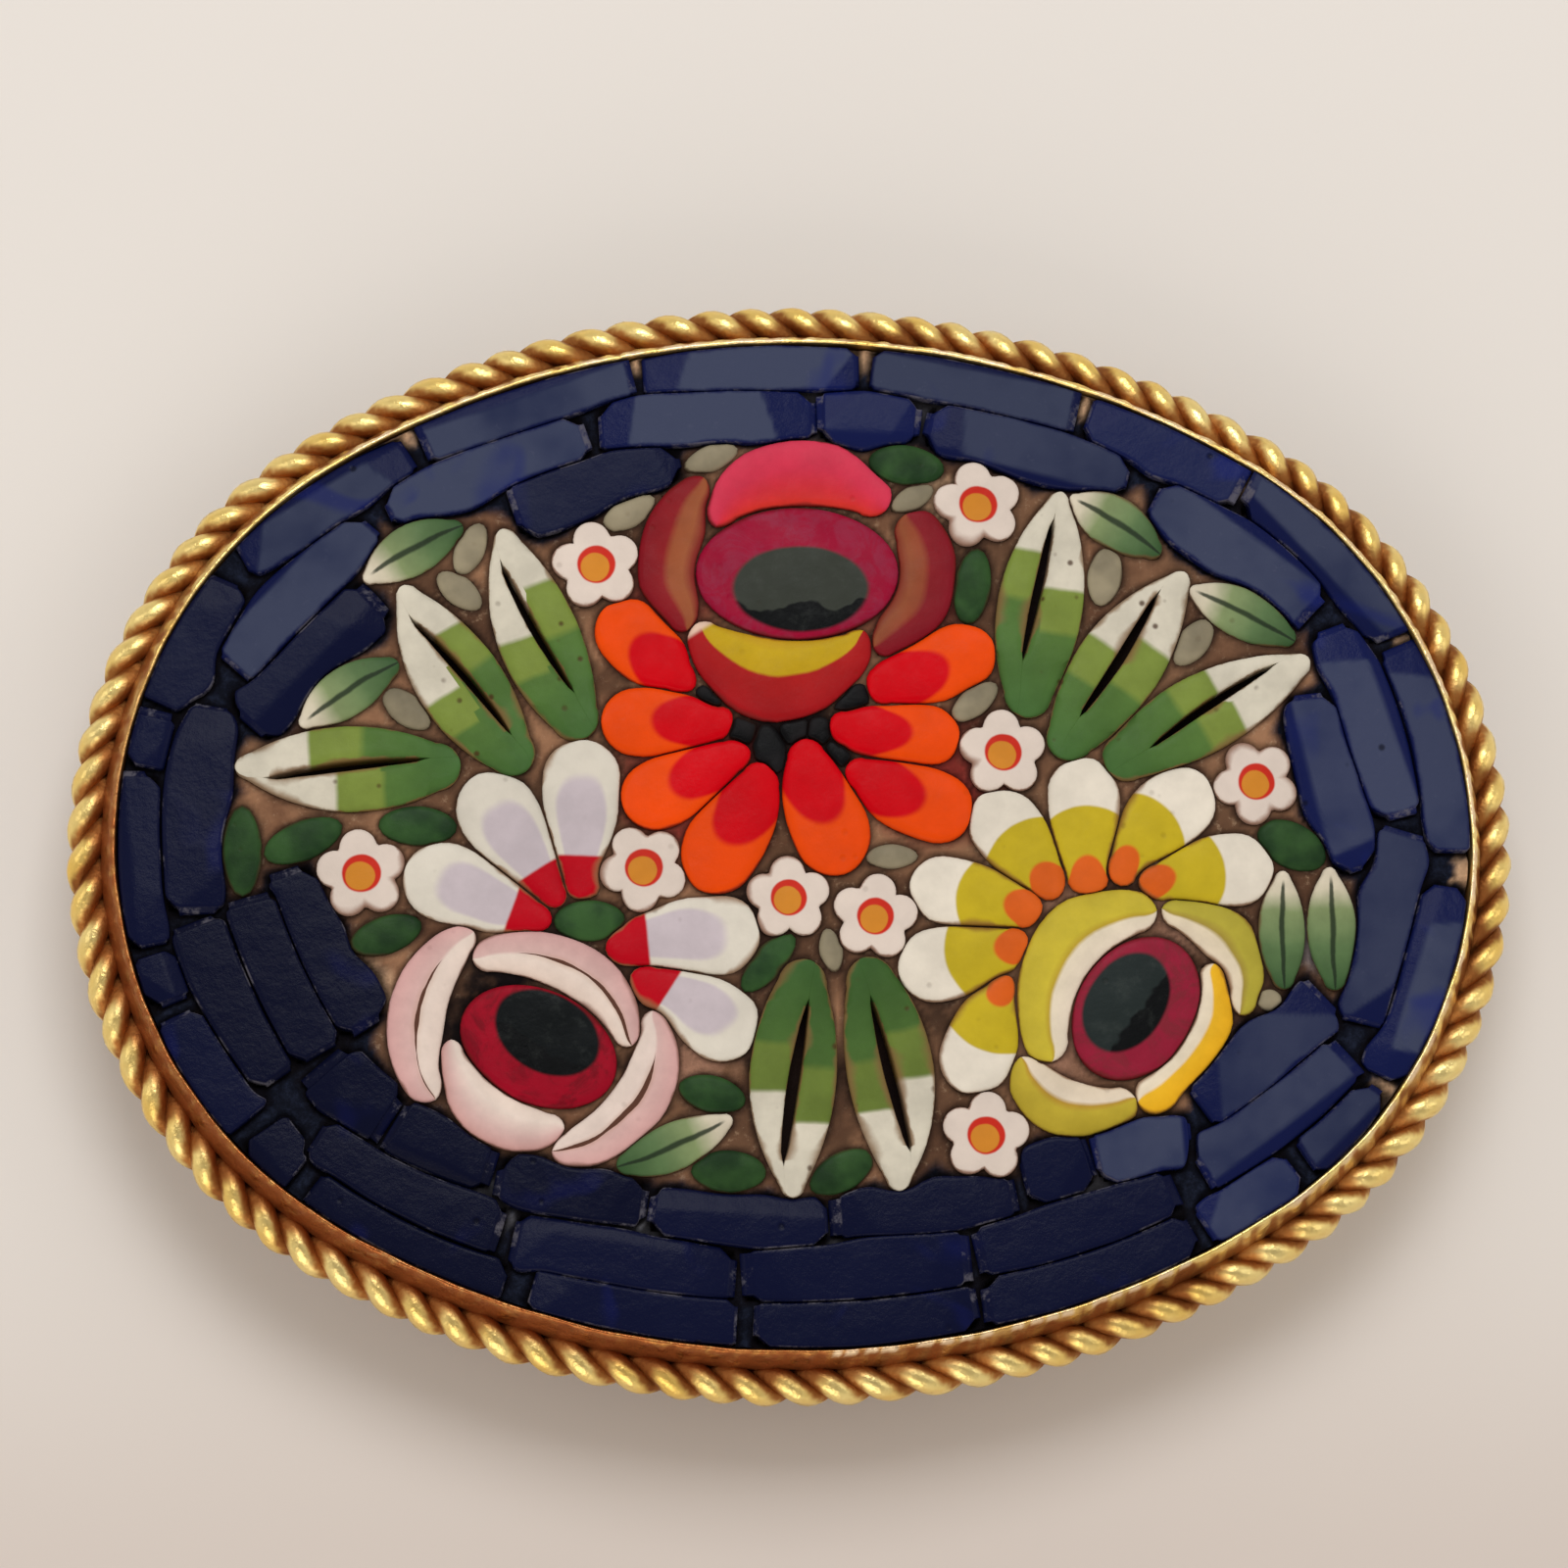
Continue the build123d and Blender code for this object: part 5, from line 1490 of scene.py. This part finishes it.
# Bands of the rose petals from their right side to their left side, looking from start to end:
# where each colour stands across the petal
PINK, CREAM = (208, 174, 170), (224, 208, 198)
STRIPES = {
    "red_rose_top": [(0.0, (208, 52, 40)), (0.3, (204, 44, 58)), (0.55, (200, 48, 74)), (1.0, (204, 58, 84))],
    "red_rose_west": [(0.0, (124, 18, 30)), (0.42, (132, 26, 32)), (0.55, (146, 78, 48)),
                      (0.78, (150, 84, 52)), (0.95, (128, 44, 40))],
    "red_rose_east": [(0.0, (122, 50, 40)), (0.2, (140, 76, 48)), (0.42, (142, 70, 46)),
                      (0.55, (128, 28, 36)), (1.0, (124, 20, 34))],
    "red_rose_south": [(0.0, (154, 20, 26)), (0.52, (164, 26, 26)), (0.56, (186, 152, 22)),
                       (0.85, (190, 158, 26)), (1.0, (180, 140, 30))],
    "pink_rose_west": [(0.0, (206, 160, 158)), (0.48, PINK), (0.56, CREAM), (1.0, (222, 204, 194))],
    "pink_rose_north": [(0.0, (220, 200, 188)), (0.45, CREAM), (0.53, PINK), (1.0, (202, 158, 156))],
    "pink_rose_east": [(0.0, CREAM), (0.43, (222, 204, 196)), (0.51, PINK), (1.0, (204, 158, 156))],
    "pink_rose_south": [(0.0, (198, 150, 146)), (0.3, PINK), (0.7, CREAM), (1.0, (224, 206, 194))],
    "yellow_rose_north": [(0.0, (184, 166, 52)), (0.5, (196, 178, 56)), (0.6, (182, 156, 50)),
                          (0.66, (224, 212, 190)), (1.0, (222, 208, 190))],
    "yellow_rose_east": [(0.0, (220, 206, 184)), (0.35, (220, 206, 180)), (0.43, (160, 140, 60)),
                         (0.6, (176, 164, 60)), (1.0, (168, 156, 56))],
    "yellow_rose_south_east": [(0.0, (226, 214, 192)), (0.34, (224, 210, 186)), (0.42, (226, 176, 40)),
                               (1.0, (222, 166, 30))],
    "yellow_rose_south": [(0.0, (172, 152, 48)), (0.45, (184, 164, 54)), (0.56, (176, 140, 50)),
                          (0.64, (220, 206, 186)), (1.0, (216, 200, 178))],
}
RIMS = {"red": (110, 30, 28), "pink": (128, 88, 74), "yellow": (124, 78, 40)}
# Where the brown crack runs across the petal, and where a pale tip ends along it
CRACKS = {"pink_rose_west": 0.52, "pink_rose_north": 0.49, "pink_rose_east": 0.47}
TIPS = {"red_rose_south": (0.015, 0.04)}
# Ring, core and smoky shade of the hearts; the red heart's grey core is a painted reflection on its dark
# glass
HEART_COLOURS = {
    "red_rose_heart": ((146, 12, 48), (54, 58, 52), (142, 34, 62)),
    "pink_rose_heart": ((148, 10, 34), (12, 16, 18), (118, 12, 28)),
    "yellow_rose_heart": ((142, 30, 54), (34, 42, 42), (126, 36, 50)),
}


class BROOCH_OT_roses(bpy.types.Operator):
    """Curved outer petals of the three roses, and their cane-slice hearts"""
    bl_idname = "brooch.roses"
    bl_label = "Roses"

    def execute(self, context):
        for i, stone in enumerate(lay_out()["crescent"]):
            name = stone.row[0]
            family = name.split("_")[0]
            material = striped_glass(name + "_glass", STRIPES[name], RIMS[family], TIPS.get(name),
                                     CRACKS.get(name))
            stones = Stones()
            stones.band(stone.band, 400 + i, PLAIN, ease_by=0.12, lift=-0.01, crown=0.04, columns=32, rows=14)
            stones.put(name + "_glass", material, [name])
        for i, stone in enumerate(lay_out()["heart"]):
            name, half_length, core = stone.row[0], stone.row[3], stone.row[6:]
            material = heart_glass(name + "_glass", *HEART_COLOURS[name], core[:2], core[2:4], core[4])
            stones = Stones()
            stones.disc(stone.centre, stone.reach, 450 + i, PLAIN, ease_by=0.12,
                        around=64, rings=9, crown=0.04, scale=half_length)
            stones.put(name + "_glass", material, [name])
        return {"FINISHED"}


class BROOCH_OT_small_leaves(bpy.types.Operator):
    """Seven small veined leaves at the edge of the bouquet"""
    bl_idname = "brooch.small_leaves"
    bl_label = "Small Leaves"

    def execute(self, context):
        stones = Stones()
        for i, stone in enumerate(lay_out()["small_leaf"]):
            stones.band(stone.band, 500 + i, PLAIN, ease_by=0.11, lift=-0.03, crown=0.04, columns=24, rows=12)
        stones.put("small_leaves_glass", small_leaf_glass(), ["small_leaves"])
        return {"FINISHED"}


class BROOCH_OT_daisies(bpy.types.Operator):
    """Nine five-lobed daisies, white with an orange eye"""
    bl_idname = "brooch.daisies"
    bl_label = "Daisies"

    def execute(self, context):
        stones = Stones()
        for i, stone in enumerate(lay_out()["daisy"]):
            tone = random.Random(600 + i).uniform(0.94, 1.02)
            stones.disc(stone.centre, stone.reach, 600 + i, (tone, 0.5), ease_by=0.1, around=80, rings=9,
                        crown=0.03, scale=stone.row[2] / 2)
        stones.put("daisies_glass", daisy_glass(), ["daisies"])
        return {"FINISHED"}


class BROOCH_OT_drops(bpy.types.Operator):
    """Green and grey drops, and the black chips between the red petals"""
    bl_idname = "brooch.drops"
    bl_label = "Drops and Chips"

    def execute(self, context):
        stones = Stones()
        for i, stone in enumerate(lay_out()["drop"]):
            rnd = random.Random(700 + i)
            tone = (rnd.uniform(0.85, 1.1), float(stone.row[0] == "grey"))
            stones.disc(stone.centre, stone.reach, 700 + i, tone, ease_by=0.12,
                        around=36, rings=7, crown=0.04, lift=rnd.uniform(-0.08, -0.02))
        stones.put("drops_glass", drop_glass(), ["leaf_drops"])
        stones = Stones()
        for i, stone in enumerate(lay_out()["chip"]):
            stones.disc(stone.centre, stone.reach, 750 + i, PLAIN, ease_by=0.08,
                        around=24, rings=5, crown=0.02, lift=-0.06)
        stones.put("black_chips_glass", black_glass(), ["black_chips"])
        return {"FINISHED"}


class BROOCH_OT_pin(bpy.types.Operator):
    """Pin bar, hinge, stem and catch on the back"""
    bl_idname = "brooch.pin"
    bl_label = "Pin"

    def execute(self, context):
        _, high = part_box("pin_back")
        end, half, depth = high[0] - 1.5 * MM, high[1], high[2]
        middle = depth * 0.38
        stem_end = end * 0.82
        bm = bmesh.new()

        def block(x, y, z, wide, deep, tall, edge):
            made = bmesh.ops.create_cube(bm, size=1.0)["verts"]
            for v in made:
                v.co = (x + v.co.x * wide, y + v.co.y * deep, z + v.co.z * tall)
            edges = list({e for v in made for e in v.link_edges})
            bmesh.ops.bevel(bm, geom=edges, offset=edge, segments=3, profile=0.5, affect="EDGES")

        def rod(x1, y1, x2, y2, wide_start, wide_finish):
            start, finish = Vector((x1, y1, middle)), Vector((x2, y2, middle))
            axis = finish - start
            turn = axis.to_track_quat("Z", "Y").to_matrix().to_4x4()
            bmesh.ops.create_cone(bm, cap_ends=True, segments=32, radius1=wide_start, radius2=wide_finish,
                                  depth=axis.length, matrix=Matrix.Translation((start + finish) / 2) @ turn)

        block(0, 0, depth - 0.4 * MM, 2 * high[0] - 0.4 * MM, half * 1.5, 0.8 * MM, 0.2 * MM)
        for side in (-1, 1):
            block(-end, side * half * 0.82, depth / 2 - 0.3 * MM,
                  2.4 * MM, half * 0.3, depth - 0.6 * MM, 0.4 * MM)
            rod(-end, side * half * 0.55, -end, side * half * 0.99, 0.55 * MM, 0.45 * MM)
        rod(-end, -half * 0.6, -end, half * 0.6, 0.8 * MM, 0.8 * MM)
        rod(-end, 0, stem_end, 0, 0.4 * MM, 0.34 * MM)
        rod(stem_end, 0, end + 1.1 * MM, 0, 0.34 * MM, 0.06 * MM)
        block(end, 0, depth - 1.1 * MM, 2.6 * MM, half * 1.1, 0.8 * MM, 0.2 * MM)
        hook = bmesh.ops.create_circle(bm, cap_ends=False, segments=20, radius=1.0)["verts"]
        for v in hook:
            v.co = (end + v.co.x * 0.9 * MM, v.co.y * middle * 0.2, middle * 1.8)
        geom = hook + list({e for v in hook for e in v.link_edges})
        centre = (end, 0, middle)
        bmesh.ops.rotate(bm, verts=hook, cent=centre, matrix=Matrix.Rotation(math.radians(-25), 3, "X"))
        spun = bmesh.ops.spin(bm, geom=geom, cent=centre, axis=(1, 0, 0), angle=math.radians(250), steps=30)
        for rim in (geom, spun["geom_last"]):
            bmesh.ops.contextual_create(bm, geom=[g for g in rim if isinstance(g, bmesh.types.BMEdge)])
        layer = bm.verts.layers.float_color.new("finish")
        for v in bm.verts:
            v[layer] = (0.8 if v.co.z < depth - MM else 0.5, 0.0, 0.1, 1.0)
        for f in bm.faces:
            f.smooth = len(f.verts) == 4 and f.calc_area() < 2e-6
        mesh = to_mesh(bm, "gilt_pin", gilt_metal("gilt_pin", 0.5))
        put_piece("gilt_pin", mesh, ["pin_back"])
        return {"FINISHED"}


# Place of each soft light in metres, its size, its power's name and its colour
LIGHTS = {
    "window": ((0.0, 0.09, 0.18), 0.1, "window_power", (0.98, 0.99, 1.0)),
    "left": ((-0.16, 0.02, 0.14), 0.1, "fill_power", (1.0, 0.98, 0.96)),
    "right": ((0.16, 0.02, 0.14), 0.1, "fill_power", (1.0, 0.98, 0.96)),
    "front": ((-0.05, -0.18, 0.12), 0.16, "front_power", (1.0, 0.9, 0.8)),
}


def stage_floor(look):
    """A wide sheet of pale paper, painted darker and warmer towards the front as shade."""
    bm = bmesh.new()
    bmesh.ops.create_grid(bm, x_segments=1, y_segments=1, size=0.6)
    paper = Finish("pale_floor", 0.9)
    front = paper.add("ShaderNodeVectorMath", "Value", {0: paper.place(), 1: (0.0, -1.0, 0.0)},
                      operation="DOT_PRODUCT")
    # Painted shade: the floor's colour darkens and warms towards the front
    near = [c * k for c, k in zip(look.floor_colour, (0.83, 0.775, 0.75))]
    paper.link(paper.mix(paper.step(front, 0.006, 0.026), look.floor_colour, near))
    mesh = bpy.data.meshes.new("floor")
    bm.to_mesh(mesh)
    bm.free()
    mesh.materials.append(paper.material)
    plate = bpy.data.objects.new("floor", mesh)
    bpy.context.scene.collection.objects.link(plate)


def stage_camera(look):
    """The camera where the photo was taken from, looking a little above the mosaic's middle."""
    scene = bpy.context.scene
    lean = math.sin(look.tilt)
    away = Vector((-lean * math.sin(look.side), -lean * math.cos(look.side), math.cos(look.tilt)))
    right = (-away).cross(Vector((0, 1, 0))).normalized()
    up = right.cross(-away)
    c, s = math.cos(look.roll), math.sin(look.roll)
    turn = Matrix((c * right + s * up, c * up - s * right, away)).transposed()
    data = bpy.data.cameras.new("view")
    data.sensor_width = 36.0
    data.lens = look.lens
    data.clip_start = 0.01
    camera = bpy.data.objects.new("view", data)
    scene.collection.objects.link(camera)
    target = Vector((-0.45, 1.63, STONE_TOP)) * MM
    camera.matrix_world = Matrix.Translation(target + away * look.distance) @ turn.to_4x4()
    scene.camera = camera


def stage_lights(look):
    """Four soft lights, and a warm room that is brighter below than above."""
    scene = bpy.context.scene
    for name, (spot, size, power, colour) in LIGHTS.items():
        light = bpy.data.lights.new(name, "AREA")
        light.energy = getattr(look, power)
        light.size = size
        light.color = colour
        lamp = bpy.data.objects.new(name, light)
        scene.collection.objects.link(lamp)
        lamp.location = spot
        lamp.rotation_euler = (-Vector(spot)).to_track_quat("-Z", "Y").to_euler()
    scene.world = bpy.data.worlds.new("room")
    scene.world.use_nodes = True
    tree = scene.world.node_tree
    background = tree.nodes["Background"]
    background.inputs[0].default_value = (1.0, 0.93, 0.84, 1.0)
    kinds = ("TexCoord", "SeparateXYZ", "MapRange")
    place, parts, fade = (tree.nodes.new("ShaderNode" + kind) for kind in kinds)
    fade.inputs[3].default_value = look.room_light * 1.75
    fade.inputs[4].default_value = look.room_light * 0.62
    for start, finish in ((place.outputs["Generated"], parts.inputs[0]), (parts.outputs[2], fade.inputs[0]),
                          (fade.outputs[0], background.inputs[1])):
        tree.links.new(start, finish)


class BROOCH_OT_stage(bpy.types.Operator):
    """Floor, soft light and the camera"""
    bl_idname = "brooch.stage"
    bl_label = "Stage"

    def execute(self, context):
        for build in (stage_floor, stage_camera, stage_lights):
            build(context.scene.brooch_view)
        context.scene.view_settings.view_transform = "Standard"
        return {"FINISHED"}


def length_of(name, description, mm):
    return FloatProperty(name=name, description=description, default=mm * MM, unit="LENGTH")


def angle_of(name, description, degrees):
    return FloatProperty(name=name, description=description, default=math.radians(degrees), subtype="ANGLE")


def power_of(name, description, watts):
    return FloatProperty(name=name, description=description, default=watts, unit="POWER")


class BroochSetting(bpy.types.PropertyGroup):
    opening_length: length_of("Opening length", "Length of the mosaic inside the wall", 41.0)
    opening_width: length_of("Opening width", "Width of the mosaic inside the wall", 41.0 * 0.7537)
    end_radius: length_of("End radius", "Radius of the oval's two end arcs", 41.0 * 0.3293)
    wall_thickness: length_of("Wall", "Thickness of the cup's wall", 0.25)
    rope_radius: length_of("Wire radius", "Radius of the twisted wire as a whole", 0.68)
    rope_below_lip: length_of("Wire below lip", "How far the twisted wire's middle is below the lip", 1.55)
    rope_pitch: length_of("Wire pitch", "Distance from one lobe of the twist to the next", 1.27)
    twist_steps: IntProperty(name="Twist steps", description="Points in each full turn of a strand",
                             default=16, min=6)


class BroochView(bpy.types.PropertyGroup):
    tilt: angle_of("Tilt", "How far the camera leans from straight above", 12.31)
    side: angle_of("Side", "Direction that the camera leans to", 22.7)
    roll: angle_of("Roll", "Turn of the camera about its own axis", -1.57)
    distance: length_of("Distance", "Camera to mosaic", 160.0)
    lens: FloatProperty(name="Lens", description="Focal length", default=121.6, unit="CAMERA")
    window_power: power_of("Window", "Power of the main soft light", 0.175)
    fill_power: power_of("Fill", "Power of each side light", 0.03)
    front_power: power_of("Front", "Power of the low front light", 0.12)
    room_light: FloatProperty(name="Room light", description="Strength of the even light",
                              default=0.48, min=0.0)
    floor_colour: FloatVectorProperty(name="Floor", description="Colour of the floor",
                                      default=(0.78, 0.745, 0.715), subtype="COLOR", size=3)


STEPS = ("stage", "cup", "mastic", "pin", "ground_tiles", "leaves", "petals", "roses", "small_leaves",
         "daisies", "drops")


class BROOCH_PT_panel(bpy.types.Panel):
    bl_idname = "BROOCH_PT_panel"
    bl_label = "Mosaic Brooch"
    bl_space_type = "VIEW_3D"
    bl_region_type = "UI"
    bl_category = "Brooch"

    def draw(self, context):
        for group in (context.scene.brooch_setting, context.scene.brooch_view):
            box = self.layout.box()
            for key in group.__annotations__:
                box.prop(group, key)
        for step in STEPS:
            self.layout.operator("brooch." + step)


CLASSES = (
    BroochSetting, BroochView, BROOCH_OT_stage, BROOCH_OT_cup, BROOCH_OT_mastic, BROOCH_OT_pin,
    BROOCH_OT_ground_tiles, BROOCH_OT_leaves, BROOCH_OT_petals, BROOCH_OT_roses, BROOCH_OT_small_leaves,
    BROOCH_OT_daisies, BROOCH_OT_drops, BROOCH_PT_panel,
)


def register():
    for cls in CLASSES:
        bpy.utils.register_class(cls)
    bpy.types.Scene.brooch_setting = PointerProperty(type=BroochSetting)
    bpy.types.Scene.brooch_view = PointerProperty(type=BroochView)


def unregister():
    del bpy.types.Scene.brooch_view
    del bpy.types.Scene.brooch_setting
    for cls in reversed(CLASSES):
        bpy.utils.unregister_class(cls)


def main():
    register()
    for step in STEPS:
        getattr(bpy.ops.brooch, step)()


if __name__ == "__main__":
    main()
